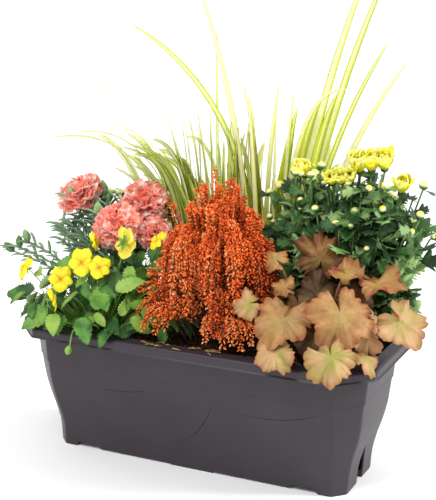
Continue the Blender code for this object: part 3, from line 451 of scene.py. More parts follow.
def carnation_petal():
    """Frilled carnation petals: salmon edges, cream streaks fanning out from the heart; thin
    enough for light to glow through."""
    made, tree, shader = finish("carnation_petal", 0.6, **glow(0.5, (1.0, 0.7, 0.6)))
    field, _, along, _, _ = grain_parts(tree)
    stretch = add(tree, "VectorMath", {0: field, 1: (1.5, 0.8, 7.0)}, operation="MULTIPLY")
    streak = add(tree, "TexNoise", {"Vector": stretch, "Scale": 2.0, "Detail": 3.0})
    shift = add(tree, "Math", {0: along, 1: 0.34, 2: -0.20}, operation="MULTIPLY_ADD")
    moved = add(tree, "Math", {0: streak, 1: shift}, operation="ADD")
    stops = ((0.38, "#fff2e6"), (0.48, "#ffd2c4"), (0.56, "#fc8f7c"), (0.76, "#f4644f"))
    tint = add(tree, "ValToRGB", {"Fac": moved}, stops=stops)
    tree.links.new(tint, shader.inputs["Base Color"])
    return made


def daisy_petal():
    """Chrysanthemum petals: lemon yellow, greener at the foot, brighter at the tip."""
    made, tree, shader = finish("daisy_petal", 0.55, **glow(0.5, (1.0, 1.0, 0.2)))
    _, _, along, tone, _ = grain_parts(tree)
    drift = add(tree, "Math", {0: tone, 1: 0.3, 2: -0.15}, operation="MULTIPLY_ADD")
    moved = add(tree, "Math", {0: along, 1: drift}, operation="ADD")
    stops = ((0.0, "#d6d43c"), (0.22, "#fff01e"), (0.75, "#fff618"), (1.0, "#fffb82"))
    tint = add(tree, "ValToRGB", {"Fac": moved}, stops=stops)
    tree.links.new(tint, shader.inputs["Base Color"])
    return made


def daisy_bud():
    """Chrysanthemum buds: green scales below, packed cream petals above."""
    made, tree, shader = finish("daisy_bud", 0.55)
    _, _, along, tone, _ = grain_parts(tree)
    drift = add(tree, "Math", {0: tone, 1: 0.34, 2: -0.17}, operation="MULTIPLY_ADD")
    moved = add(tree, "Math", {0: along, 1: drift}, operation="ADD")
    stops = ((0.28, "#3f6e2e"), (0.44, "#8aa95a"), (0.56, "#e6e6a8"), (0.80, "#f7f1a0"), (1.0, "#f2dc3c"))
    tint = add(tree, "ValToRGB", {"Fac": moved}, stops=stops)
    tree.links.new(tint, shader.inputs["Base Color"])
    return made


# ---- surfaces -------------------------------------------------------------------------------


def unit(vectors):
    """The same directions at length one."""
    return vectors / np.maximum(np.linalg.norm(vectors, axis=-1, keepdims=True), 1e-9)


def bezier(a, b, c, steps):
    """Quadratic Bezier paths (batch, steps, 3): (1-t)^2 a + 2t(1-t) b + t^2 c."""
    a, b, c = (np.atleast_2d(np.asarray(p, float))[:, None, :] for p in (a, b, c))
    t = np.linspace(0, 1, steps)[None, :, None]
    return (1 - t) ** 2 * a + 2 * t * (1 - t) * b + t ** 2 * c


def tangents(path):
    """Unit directions along each path, by central differences."""
    return unit(np.gradient(path, axis=1))


def lofts(rings, grain=None, under=None):
    """Closed bodies through rings (batch, levels, around, 3): quads between rings, capped ends."""
    grain = np.zeros(rings.shape) if grain is None else grain
    under = np.zeros(rings.shape[:3]) if under is None else under
    batch, levels, around = rings.shape[:3]
    index = np.arange(batch * levels * around).reshape(batch, levels, around)
    beside = np.roll(index, -1, axis=2)
    quads = np.stack([index[:, :-1], beside[:, :-1], beside[:, 1:], index[:, 1:]], axis=-1)
    faces = [quads.reshape(-1, 4), index[:, 0, ::-1], index[:, -1]]
    return rings.reshape(-1, 3), faces, grain.reshape(-1, 3), under.reshape(-1)


def ribbons(path, side, half, thick, columns=5, cup=0.0, fold=0.0, lift=None, push=None, tone=0.5):
    """Leaves and petals as closed lens-shaped ribbons.

    Across each path runs c from -1 to 1 along the side direction. A point stands at
    path + side*half*c + normal*(cup*half*c^2 + fold*half*|c| + lift) + tangent*push, and the
    two skins part by thick*(1 - c^2).
    """
    path = np.asarray(path, float)
    batch, steps = path.shape[:2]
    run = tangents(path)
    side = unit(side - run * (side * run).sum(-1, keepdims=True))
    normal = np.cross(side, run)
    half = np.broadcast_to(half, (batch, steps))[..., None]
    c = np.linspace(-1, 1, columns)
    shape = (batch, steps, columns)
    raised = cup * half * c ** 2 + fold * half * np.abs(c)
    raised = raised + (0 if lift is None else lift)
    forward = np.broadcast_to(0.0 if push is None else push, shape)
    gap = np.broadcast_to(thick, (batch, steps))[..., None] * (1 - c ** 2) / 2
    skins = []
    for sign in (1, -1):
        skin = path[:, :, None] + side[:, :, None] * (half * c)[..., None]
        skin = skin + normal[:, :, None] * (raised + sign * gap)[..., None]
        skins.append(skin + run[:, :, None] * forward[..., None])
    rings = np.concatenate([skins[0], skins[1][:, :, -2:0:-1]], axis=2)
    across = np.concatenate([c, c[-2:0:-1]])
    along = np.linspace(0, 1, steps)
    tone = np.broadcast_to(np.reshape(tone, (-1, 1, 1)), (batch, steps, len(across)))
    grain = np.stack(np.broadcast_arrays(across, along[None, :, None], tone), axis=-1)
    below = np.concatenate([np.zeros(columns), np.ones(columns - 2)])
    return lofts(rings, grain, np.broadcast_to(below, rings.shape[:3]).copy())


def tubes(path, radius, around=6, tone=0.5):
    """Round stems: circles of the given radius square to each path."""
    path = np.asarray(path, float)
    batch, steps = path.shape[:2]
    run = tangents(path)
    side = unit(np.cross(run, (0.42, -0.86, 0.29)))
    other = np.cross(run, side)
    turn = np.arange(around) * 2 * math.pi / around
    radius = np.broadcast_to(radius, (batch, steps))[..., None, None]
    wheel = side[:, :, None] * np.cos(turn)[:, None] + other[:, :, None] * np.sin(turn)[:, None]
    rings = path[:, :, None] + wheel * radius
    tone = np.broadcast_to(np.reshape(tone, (-1, 1, 1)), rings.shape[:3])
    along = np.linspace(0, 1, steps)[None, :, None]
    grain = np.stack(np.broadcast_arrays(np.zeros(around), along, tone), axis=-1)
    return lofts(rings, grain)


def turned(profile, around):
    """A turned shape from (height, radius) pairs along +Z, as rings (levels, around, 3)."""
    profile = np.asarray(profile, float)
    turn = np.arange(around) * 2 * math.pi / around
    x = profile[:, 1, None] * np.cos(turn)
    y = profile[:, 1, None] * np.sin(turn)
    return np.stack([x, y, np.broadcast_to(profile[:, :1], x.shape)], axis=-1)


def frames_from(direction):
    """Right-handed axes (n, 3, 3) whose rows are x, y and z, with z along each direction."""
    z = unit(direction)
    x = unit(np.cross(np.array([0.31, 0.17, 0.93]) + 0 * z, z))
    return np.stack([x, np.cross(z, x), z], axis=1)


def copies(shape, places, axes, sizes, tone):
    """Copies of one ring shape (levels, around, 3), scaled by sizes and turned to the axes."""
    scaled = shape[None] * np.asarray(sizes)[:, None, None, :]
    rings = np.einsum("nlak,nkj->nlaj", scaled, axes) + np.asarray(places)[:, None, None, :]
    low, high = shape[..., 2].min(), shape[..., 2].max()
    along = np.broadcast_to((shape[..., 2] - low) / (high - low), rings.shape[:3])
    tone = np.broadcast_to(np.reshape(tone, (-1, 1, 1)), rings.shape[:3])
    grain = np.stack([np.zeros_like(along), along, tone], axis=-1)
    return lofts(rings, grain)


def join(*surfaces):
    """Several surfaces as one: points stacked and faces counted on."""
    points, faces, grain, under, start = [], [], [], [], 0
    for p, f, g, u in surfaces:
        points.append(p)
        grain.append(g)
        under.append(u)
        faces += [a + start for a in f]
        start += len(p)
    return np.concatenate(points), faces, np.concatenate(grain), np.concatenate(under)


def piece(name, coats, nodes=(), flat=False):
    """One named object from (surface, material) coats; it rides on the body and stands for nodes."""
    points, faces, grain, under = join(*[surface for surface, _ in coats])
    index = np.concatenate([np.full(sum(map(len, s[1])), i) for i, (s, _) in enumerate(coats)])
    sizes = np.concatenate([np.full(len(a), a.shape[1]) for a in faces])
    corners = np.concatenate([a.ravel() for a in faces])
    mesh = bpy.data.meshes.new(name)
    mesh.vertices.add(len(points))
    mesh.vertices.foreach_set("co", points.astype(np.float32).ravel())
    mesh.loops.add(len(corners))
    mesh.loops.foreach_set("vertex_index", corners.astype(np.int32))
    mesh.polygons.add(len(sizes))
    starts = np.concatenate([[0], np.cumsum(sizes)[:-1]])
    mesh.polygons.foreach_set("loop_start", starts.astype(np.int32))
    mesh.polygons.foreach_set("material_index", index.astype(np.int32))
    mesh.polygons.foreach_set("use_smooth", np.full(len(sizes), not flat))
    mesh.update(calc_edges=True)
    field = mesh.attributes.new("grain", "FLOAT_VECTOR", "POINT")
    field.data.foreach_set("vector", grain.astype(np.float32).ravel())
    field = mesh.attributes.new("under", "FLOAT", "POINT")
    field.data.foreach_set("value", under.astype(np.float32))
    mesh.validate()
    for _, coat in coats:
        mesh.materials.append(coat)
    made = bpy.data.objects.new(name, mesh)
    bpy.context.scene.collection.objects.link(made)
    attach(made, "root")
    if nodes:
        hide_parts(*nodes)
    return made


def waves(points, size, seed):
    """Smooth noise between about -1 and 1: a mean of sine waves in random directions."""
    draw = np.random.default_rng(seed)
    way = draw.normal(size=(9, 3)) * 2 * math.pi / size
    phase = draw.uniform(0, 2 * math.pi, 9)
    return np.sin(points @ way.T + phase).mean(-1) * 2


# ---- trough ---------------------------------------------------------------------------------


def body_section(heights):
    """Half length, half width and corner leg at each height: cubic Hermite between the sections."""
    rows = np.array(BODY_SECTIONS)
    knots = rows[:, 0]
    slopes = np.gradient(rows[:, 1:], knots, axis=0)
    i = np.clip(np.searchsorted(knots, heights) - 1, 0, len(rows) - 2)
    span = (knots[i + 1] - knots[i])[:, None]
    t = (np.asarray(heights)[:, None] - knots[i][:, None]) / span
    low = (2 * t ** 3 - 3 * t ** 2 + 1) * rows[i, 1:] + (t ** 3 - 2 * t ** 2 + t) * span * slopes[i]
    high = (3 * t ** 2 - 2 * t ** 3) * rows[i + 1, 1:] + (t ** 3 - t ** 2) * span * slopes[i + 1]
    return low + high


def outlines(sections, offset, heights, softness=0.0035, arc=7):
    """Octagons with 45 degree corners and rounded upright edges, one ring (8*arc, 3) a height.

    Moving the outline out by d lengthens the corner leg by d*(2 - sqrt 2)."""
    offset = np.broadcast_to(offset, len(heights))
    x, y, c = (sections[:, k] + offset * (1, 1, 2 - math.sqrt(2))[k] for k in range(3))
    corners = [(x, -y + c), (x, y - c), (x - c, y), (c - x, y)]
    corners += [(-x, y - c), (-x, c - y), (c - x, -y), (x - c, -y)]
    corners = np.array(corners).transpose(2, 0, 1)
    before = corners + unit(np.roll(corners, 1, axis=1) - corners) * softness
    after = corners + unit(np.roll(corners, -1, axis=1) - corners) * softness
    t = np.linspace(0, 1, arc)[None, None, :, None]
    before, middle, after = (points[:, :, None] for points in (before, corners, after))
    bend = (1 - t) ** 2 * before + 2 * t * (1 - t) * middle + t ** 2 * after
    flat = bend.reshape(len(heights), -1, 2)
    level = np.broadcast_to(np.asarray(heights)[:, None, None], flat.shape[:2] + (1,))
    return np.concatenate([flat, level], axis=-1)


def trough_rings():
    """Up the outside, under the flange, round the skirt, over the top and down the inside."""
    rim = np.array([RIM])
    # the band's lower edge carries a fine bead
    ledge = BAND_HEIGHT + np.array([-0.0002, 0.0002, 0.0009, 0.0022])
    rise = np.concatenate([np.linspace(0, 0.1262, 40), ledge, np.linspace(0.1310, RIM_TOP - WALL, 8)])
    proud = np.interp(rise, ledge, (0.0, BAND_STEP + 0.0004, BAND_STEP + 0.0005, BAND_STEP))
    rings = [outlines(body_section(rise), proud, rise)]
    skirt = RIM_TOP - RIM_SKIRT
    # a raised bead along the skirt's lower edge
    edge = skirt + np.array([0.0004, 0, 0, 0.0004, 0.0024])
    heights = np.concatenate([[RIM_TOP - WALL - 0.001], edge])
    insets = np.array([-WALL, -WALL, -WALL + 0.0004, 0.0010, 0.0016, 0.0])
    rings.append(outlines(np.repeat(rim, 6, 0), insets, heights))
    a = np.radians(np.linspace(0, 90, 9))
    insets = -RIM_ROUND * (1 - np.cos(a))
    rings.append(outlines(np.repeat(rim, 9, 0), insets, RIM_TOP - RIM_ROUND * (1 - np.sin(a))))
    # the flange is a touch lower towards the soil, past a faint raised bead
    rings.append(outlines(np.array(FLANGE_BEAD), 0.0, [RIM_TOP, RIM_TOP + 0.0004, RIM_TOP - 0.0002]))
    lip = np.array([RIM_TOP - 0.0004, RIM_TOP - 0.0016])
    rings.append(outlines(body_section(lip), np.array([-WALL + 0.0008, -WALL]), lip))
    fall = np.linspace(0.150, FLOOR_TOP, 12)
    rings.append(outlines(body_section(fall), -WALL, fall))
    return np.concatenate(rings)[None]


def prism(outline, start, end, axis):
    """A closed bar: an outline of (u, v) pairs carried from start to end along X or Y."""
    u, v = np.array(outline, float).T
    ends = []
    for place in (start, end):
        fixed = np.full_like(u, place)
        ends.append(np.stack([fixed, u, v] if axis == "X" else [u, fixed, v], axis=-1))
    rings = np.array(ends)[None]
    return lofts(rings)


def niche_outline():
    """Pointed arch: straight sides up to the spring, then leaning in to the point."""
    half = NICHE_WIDTH / 2
    t = np.linspace(0, 1, 12)
    y = np.concatenate([[half], half * (1 - t ** 1.6)])
    z = np.concatenate([[CUT_BELOW], NICHE_SPRING + (NICHE_HEIGHT - NICHE_SPRING) * t])
    return [*zip(y, z), *zip(-y[-2::-1], z[-2::-1])]


def groove(start, end, sag):
    """A three-sided bar that lies in the front wall along a shallow arc, thinner at its ends."""
    start, end = np.array(start), np.array(end)
    t = np.linspace(0, 1, 33)
    run = end - start
    across = np.array((-run[1], run[0])) / np.linalg.norm(run)
    line = start + run * t[:, None] + across * (sag * 4 * t * (1 - t))[:, None]
    way = unit(np.gradient(line, axis=0))
    strength = np.sin(math.pi * np.clip(t, 0.03, 0.97)) ** 0.4
    wall = -body_section(line[:, 1])[:, 1]
    shift = np.stack([-way[:, 1], way[:, 0]], axis=-1) * (ARC_HALF_WIDTH * strength)[:, None]
    rows = []
    for spread, depth in ((-1, -ARC_CLEAR), (1, -ARC_CLEAR), (0, ARC_DEPTH)):
        x, z = (line + shift * spread).T
        y = wall + (depth if depth < 0 else depth * strength)
        rows.append(np.stack([x, y, z], axis=-1))
    rings = np.stack(rows, axis=1)[None]
    return lofts(rings)


def cut(target, surfaces):
    """Takes closed surfaces away from a piece, and shades the result smooth between its edges."""
    tools = []
    for i, (points, faces, _, _) in enumerate(surfaces):
        mesh = bpy.data.meshes.new("cutter_%d" % i)
        mesh.from_pydata(points.tolist(), [], [row for a in faces for row in a.tolist()])
        shell = bpy.data.objects.new(mesh.name, mesh)
        bpy.context.scene.collection.objects.link(shell)
        outward(mesh)
        change = target.modifiers.new("cut", "BOOLEAN")
        change.operation = "DIFFERENCE"
        change.solver = "EXACT"
        change.object = shell
        tools.append(shell)
    view = bpy.context.evaluated_depsgraph_get()
    cut_mesh = bpy.data.meshes.new_from_object(target.evaluated_get(view))
    target.modifiers.clear()
    target.data = cut_mesh
    for shell in tools:
        bpy.data.objects.remove(shell)
    cut_mesh.shade_smooth()
    cut_mesh.set_sharp_from_angle(angle=math.radians(CREASE))


def outward(mesh):
    """Turns a closed shell's faces outwards."""
    shell = bmesh.new()
    shell.from_mesh(mesh)
    bmesh.ops.recalc_face_normals(shell, faces=shell.faces)
    shell.to_mesh(mesh)
    shell.free()


def make_trough():
    """The shell, less the gaps between its feet, the end niches, the floor pockets and the arcs."""
    coats = [(lofts(trough_rings()), moulded_polypropylene())]
    trough = piece("window_box_shell", coats, ["window_box"])
    low = CUT_BELOW
    gap = [(PAD_HALF, low), (PAD_HALF + 0.001, PLINTH_RAISE), (NOTCH_FROM - 0.003, PLINTH_RAISE)]
    gap += [(NOTCH_FROM, NOTCH_HEIGHT), (NOTCH_TO, NOTCH_HEIGHT), (NOTCH_TO + 0.003, 0.0)]
    gap += [(NOTCH_TO + 0.003, low)]
    inner = body_section([0.025])[0, 0] - NICHE_DEPTH
    tools = []
    for sign in (1, -1):
        tools.append(prism([(sign * x, z) for x, z in gap], -0.15, 0.15, "Y"))
        tools.append(prism(niche_outline(), sign * inner, sign * 0.26, "X"))
        pocket = [(-POCKET_HALF_WIDTH, low), (POCKET_HALF_WIDTH, low)]
        pocket += [(POCKET_HALF_WIDTH, FLOOR_UNDERSIDE), (-POCKET_HALF_WIDTH, FLOOR_UNDERSIDE)]
        tools.append(prism(pocket, sign * POCKET_FROM, sign * POCKET_TO, "X"))
    tools += [groove(*arc) for arc in FRONT_ARCS]
    cut(trough, tools)


def make_soil():
    """Loose compost: rings from the wall to the middle, raised in crumbs, with chips on top."""
    compost = fibrous_compost()
    shares = np.concatenate([[1.0, 1.0], np.linspace(1.0, 0.02, 70)])
    base = outlines(body_section([SOIL_TOP]), -WALL - 0.0004, [SOIL_TOP], arc=24)[0]
    flat = base[None, :, :2] * shares[:, None, None]
    points = np.concatenate([flat, np.zeros(flat.shape[:2] + (1,))], axis=-1)
    crumbs = waves(points, 0.011, 1) * 0.0022 + waves(points, 0.004, 2) * 0.0011
    crumbs += waves(points, 0.045, 3) * 0.0022
    fade = np.clip((1 - shares) * 12, 0.25, 1)[:, None]
    points[..., 2] = SOIL_TOP - 0.001 + crumbs * fade
    points[0, :, 2] = 0.150
    rings = points[None]
    surface = lofts(rings)
    piece("potting_soil_surface", [(surface, compost)], ["potting_soil"])
    draw = np.random.default_rng(5)
    count = 1500
    x = draw.uniform(-0.222, 0.222, count)
    y = draw.uniform(-0.080, 0.080, count)
    kept = np.abs(x) + np.abs(y) < 0.285
    spots = np.stack([x, y, np.full(count, SOIL_TOP + 0.0005)], axis=-1)[kept]
    spots[:, 2] += waves(spots * (1, 1, 0), 0.045, 3) * 0.0022
    way = draw.normal(size=spots.shape) * (1, 1, 0.35)
    lump = turned([(-0.5, 0.15), (-0.3, 0.42), (0.2, 0.45), (0.5, 0.12)], 6)
    length = draw.uniform(0.002, 0.007, len(spots))
    sizes = np.stack([length * 0.35, length * 0.22, length], axis=-1)
    chips = copies(lump, spots, frames_from(way), sizes, draw.uniform(0, 1, len(spots)))
    bark = plain_growth("bark_chips", "#23140a", "#6b4a28", 0.9, 160.0)
    piece("compost_chips", [(chips, bark)], flat=True)


# ---- grass ----------------------------------------------------------------------------------


def blades(rows, face_turn, seed, columns=7, steps=26):
    """Striped blades: keeled ribbons along Bezier paths, tapering as sqrt(1 - t^2.2)."""
    base = np.array([(*row[0], SOIL_TOP - 0.002) for row in rows])
    tip = np.array([row[1] for row in rows], float)
    lean, rise, width = (np.array([row[k] for row in rows], float) for k in (2, 3, 4))
    bend = base + (tip - base) * np.stack([lean, lean, rise], axis=-1)
    path = bezier(base, bend, tip, steps)
    heading = tip[:, :2] - base[:, :2]
    short = np.linalg.norm(heading, axis=1) < 0.02
    heading[short] = (0.3, -1.0)
    heading = unit(heading)
    level = np.stack([-heading[:, 1], heading[:, 0], np.zeros(len(rows))], axis=-1)[:, None]
    flat = np.cross(tangents(path), level)
    front = np.where(flat[:, :1, :1] > 0, 1.0, -1.0)
    turn = math.radians(face_turn) * front
    side = level * np.cos(turn) + flat * np.sin(turn)
    t = np.linspace(0, 1, steps)
    half = width[:, None] * 0.78 * np.clip(0.70 + t, 0, 1) * np.sqrt(np.clip(1.004 - t ** 2.2, 0, 1))
    tone = np.random.default_rng(seed).uniform(0, 1, len(rows))
    return ribbons(path, side, half, BLADE_THICKNESS * (1 - 0.4 * t), columns, fold=0.16, tone=tone)


def tuft(count, centre, spread, reach, heights, widths, rise, seed):
    """More blades of a clump: each leaves near the centre and leans the way it stands; a rise
    near 1 arches it over, a smaller one keeps it straight."""
    draw = np.random.default_rng(seed)
    rows = []
    for _ in range(count):
        x, y = draw.uniform(-1, 1, 2)
        base = (centre[0] + x * spread[0], centre[1] + y * spread[1])
        tip_x = centre[0] + (x + draw.normal(0, 0.25)) * reach[0] + reach[2]
        tip = (tip_x, centre[1] + 0.008 + abs(y) * reach[1], draw.uniform(*heights))
        rows.append((base, tip, draw.uniform(0.05, 0.3), draw.uniform(*rise), draw.uniform(*widths)))
    return rows


def make_grass():
    """Ten broad and eight slender blades, each its own piece, and tufts that fill both clumps."""
    broad = variegated_blade("broad_variegated_blade", "#f8f4a6", "#c3d30c", "#6f9a18")
    slender = variegated_blade("slender_variegated_blade", "#f3f1a4", "#bcd316", "#7ba524")
    kinds = (("broad", BROAD_BLADES, broad, BROAD_FACE_TURN, 7, 20),
             ("slender", SLENDER_BLADES, slender, SLENDER_FACE_TURN, 5, 40))
    for kind, rows, skin, turn, columns, seed in kinds:
        for i, row in enumerate(rows):
            share = 1.25 if kind == "slender" else 1.15 if i < 5 else 0.80
            surface = blades([(*row[:4], row[4] * share)], turn, seed + i, columns)
            name = "%s_blade_%d" % (kind, i + 1)
            piece(name + "_leaf", [(surface, skin)], [name])
    more = tuft(34, centre=(0.054, 0.072), spread=(0.036, 0.012), reach=(0.080, 0.02, 0.014),
                heights=(0.32, 0.50), widths=(0.007, 0.011), rise=(0.55, 0.90), seed=3)
    piece("broad_grass_tuft", [(blades(more, 74.0, 60), broad)])
    upright = tuft(44, centre=(-0.034, 0.068), spread=(0.046, 0.016), reach=(0.066, 0.03, -0.022),
                   heights=(0.32, 0.45), widths=(0.007, 0.011), rise=(0.55, 0.90), seed=4)
    arched = tuft(54, centre=(-0.046, 0.066), spread=(0.044, 0.016), reach=(0.080, 0.03, -0.085),
                  heights=(0.31, 0.41), widths=(0.008, 0.013), rise=(0.85, 1.12), seed=5)
    piece("slender_grass_tuft", [(blades(upright + arched, 66.0, 61, 5), slender)])


# ---- heather --------------------------------------------------------------------------------


def heather_paths(count, seed):
    """Foot, bend and tip of the spikes: a fountain, upright in the middle, drooping outside."""
    draw = np.random.default_rng(seed)
    turn = np.arange(count) * GOLDEN_TURN + draw.normal(0, 0.12, count)
    out = np.sqrt((np.arange(count) + 0.5) / count)
    depth = np.where(np.sin(turn) < 0, 0.060, 0.034)
    x = HEATHER_CENTRE[0] - 0.002 + (0.070 + 0.010 * out ** 4) * out * np.cos(turn)
    y = HEATHER_CENTRE[1] + depth * out * np.sin(turn)
    top = 0.362 - 0.150 * out ** 2.6 + draw.normal(0, 0.014, count)
    tip = np.stack([x, y, top], axis=-1)
    centre = np.array([*HEATHER_CENTRE, 0.0])
    foot = centre + (tip - centre) * 0.25
    foot[:, 2] = 0.180
    bend = foot + (tip - foot) * 0.95
    bend[:, 2] = 0.27 + 0.130 * out ** 0.7
    return foot, bend, tip


def florets(path, draw, base_tone, start=HEATHER_BARE):
    """Bells in whorls of four up each spike, leaning out and along the stem; a whorl stands every
    WHORL_PITCH from the bare foot to the tip, WHORL_RADIUS * clip((1.05 - t) * 6) out."""
    run = tangents(path)
    steps = path.shape[1]
    length = np.linalg.norm(np.diff(path, axis=1), axis=-1).sum(1)
    spots, ways, tones = [], [], []
    for k in range(len(path)):
        whorls = max(int(length[k] * (1 - start) / WHORL_PITCH), 4)
        t = np.repeat(start + (1 - start) * (np.arange(whorls) + 0.5) / whorls, 4)
        t = np.clip(t + draw.normal(0, 0.006, len(t)), 0, 1)
        at = t * (steps - 1)
        low = np.minimum(at.astype(int), steps - 2)
        mix = (at - low)[:, None]
        centre = path[k, low] * (1 - mix) + path[k, low + 1] * mix
        axis = unit(run[k, low] * (1 - mix) + run[k, low + 1] * mix)
        turn = np.arange(len(t)) * (math.pi / 2 + 0.20) + draw.normal(0, 0.25, len(t))
        side = unit(np.cross(axis, (0.42, -0.86, 0.29)))
        out = side * np.cos(turn)[:, None] + np.cross(axis, side) * np.sin(turn)[:, None]
        taper = np.clip((1.05 - t) * 6, 0.15, 1)[:, None]
        spots.append(centre + out * WHORL_RADIUS * taper)
        ways.append(out + axis * 0.75 + draw.normal(0, 0.22, out.shape))
        tones.append(base_tone[k] + draw.normal(0, 0.11, len(t)))
    spots, ways, tones = (np.concatenate(a) for a in (spots, ways, tones))
    old = np.clip((0.215 - spots[:, 2]) / 0.04, 0, 1) * (draw.uniform(0, 1, len(spots)) < 0.45)
    tones = np.clip(tones, 0.04, 0.80) * (1 - old) + draw.uniform(0.86, 1.0, len(spots)) * old
    sizes = BELL_LENGTH * draw.uniform(0.75, 1.25, len(spots))[:, None] * np.array([0.50, 0.50, 1.0])
    bell = turned([(0.0, 0.16), (0.55, 0.46), (1.0, 0.10)], 4)
    return copies(bell, spots, frames_from(ways), sizes, tones)


def make_heather():
    """A fountain of spikes, each a twig with its bells, in seven pieces from left to right."""
    bells = heather_bells()
    wood = plain_growth("heather_wood", "#1f130b", "#5a3b22", 0.85, 200.0)
    foot, bend, tip = heather_paths(HEATHER_SPIKES, 7)
    draw = np.random.default_rng(8)
    # upright spikes of many heights that stand out of the top and lean to the right
    sprout, _, crest = heather_paths(CREST_SPIKES, 9)
    shift = np.zeros(crest.shape)
    shift[:, 0] = draw.uniform(0, 0.016, CREST_SPIKES)
    shift[:, 2] = draw.uniform(-0.020, 0.016, CREST_SPIKES)
    crest = crest + shift
    rising = sprout + (crest - sprout) * (0.72, 0.72, 0.70)
    centre = np.array([*HEATHER_CENTRE, 0.24])
    high = np.array(HEATHER_TIPS)
    side = np.array(HEATHER_SIDE_TIPS)
    foot = np.concatenate([foot, sprout, centre + (high - centre) * 0.1,
                           centre + (side - centre) * (0.4, 0.4, 1.6)])
    foot[:, 2] = np.maximum(foot[:, 2], SOIL_TOP)
    bend = np.concatenate([bend, rising, centre + (high - centre) * (0.75, 0.75, 0.45),
                           centre + (side - centre) * (0.80, 0.80, 0.0) + (0, 0, 0.016)])
    tip = np.concatenate([tip, crest, high, side])
    path = bezier(foot, bend, tip, 60)
    east = np.clip((tip[:, 0] - 0.040) * 12, 0, 1) * (tip[:, 2] > 0.22)
    tone = np.clip(0.46 - 0.26 * east + draw.normal(0, 0.10, len(tip)), 0.15, 0.72)
    place = np.argsort(np.argsort(tip[:, 0])) * 7 // len(tip)
    names = ("far_left", "left", "middle_left", "middle", "middle_right", "right", "far_right")
    for i, name in enumerate(names):
        part = place == i
        surface = florets(path[part], draw, tone[part])
        nodes = ["heather_bush"] if i == 2 else []
        piece("heather_spikes_" + name, [(surface, bells)], nodes)
    piece("heather_twigs", [(tubes(path[:, ::6], 0.0008, 5), wood)])
    # dry twigs that have dropped on the front rim
    start = np.full((FALLEN_TWIGS, 3), RIM_TOP + 0.002)
    start[:, 0] = draw.uniform(-0.050, 0.050, FALLEN_TWIGS)
    start[:, 1] = draw.uniform(-0.108, -0.094, FALLEN_TWIGS)
    way = draw.normal(0, 1, start.shape) * (0.012, 0.003, 0.0006)
    straw = plain_growth("dry_twigs", "#6a4a24", "#a88a4c", 0.8, 200.0)
    litter = tubes(bezier(start, start + way * 0.5 + (0, 0, 0.001), start + way, 7), 0.0007, 6)
    piece("dry_twigs_on_rim", [(litter, straw)])


# ---- stalked leaves and flowers -------------------------------------------------------------


def face_frame(azimuth, elevation, roll):
    """Midrib direction, direction across, and face normal."""
    a, e, r = (math.radians(v) for v in (azimuth, elevation, roll))
    normal = np.array((math.sin(a) * math.cos(e), -math.cos(a) * math.cos(e), math.sin(e)))
    up = unit(np.array((0, 0, 1.0)) - normal * normal[2])
    midrib = up * math.cos(r) + np.cross(up, normal) * math.sin(r)
    return midrib, np.cross(normal, midrib), normal


def spoke(axes, a):
    """Directions outwards and sideways at angle a from the midrib, in the plane of the face."""
    midrib, across, _ = axes
    return midrib * math.cos(a) + across * math.sin(a), across * math.cos(a) - midrib * math.sin(a)


def sunflower(count, start=1.0):
    """Even spots in a disc: the k-th has turn k * GOLDEN_TURN and distance sqrt((k + start) / count)."""
    return [(k * GOLDEN_TURN, math.sqrt((k + start) / count)) for k in range(count)]


def stalk(crown, hub, axes, radius, pull=(0.35, 0.65), spread=0.28, steps=16):
    """A stalk from the soil near the crown, up and over to the hub, which it meets along
    pull[0] * midrib + pull[1] * normal."""
    hub = np.asarray(hub, float)
    crown = np.array(crown)
    inward = axes[0] * pull[0] + axes[2] * pull[1]
    base = np.array((*(crown + (hub[:2] - crown) * spread), SOIL_TOP - 0.002))
    bend = hub - inward * 0.35 * np.linalg.norm(hub - base)
    bend[2] = max(bend[2], base[2] + 0.85 * (hub[2] - base[2]))
    return tubes(bezier(base, bend, hub, steps), np.linspace(radius * 1.15, radius * 0.9, steps), 7)


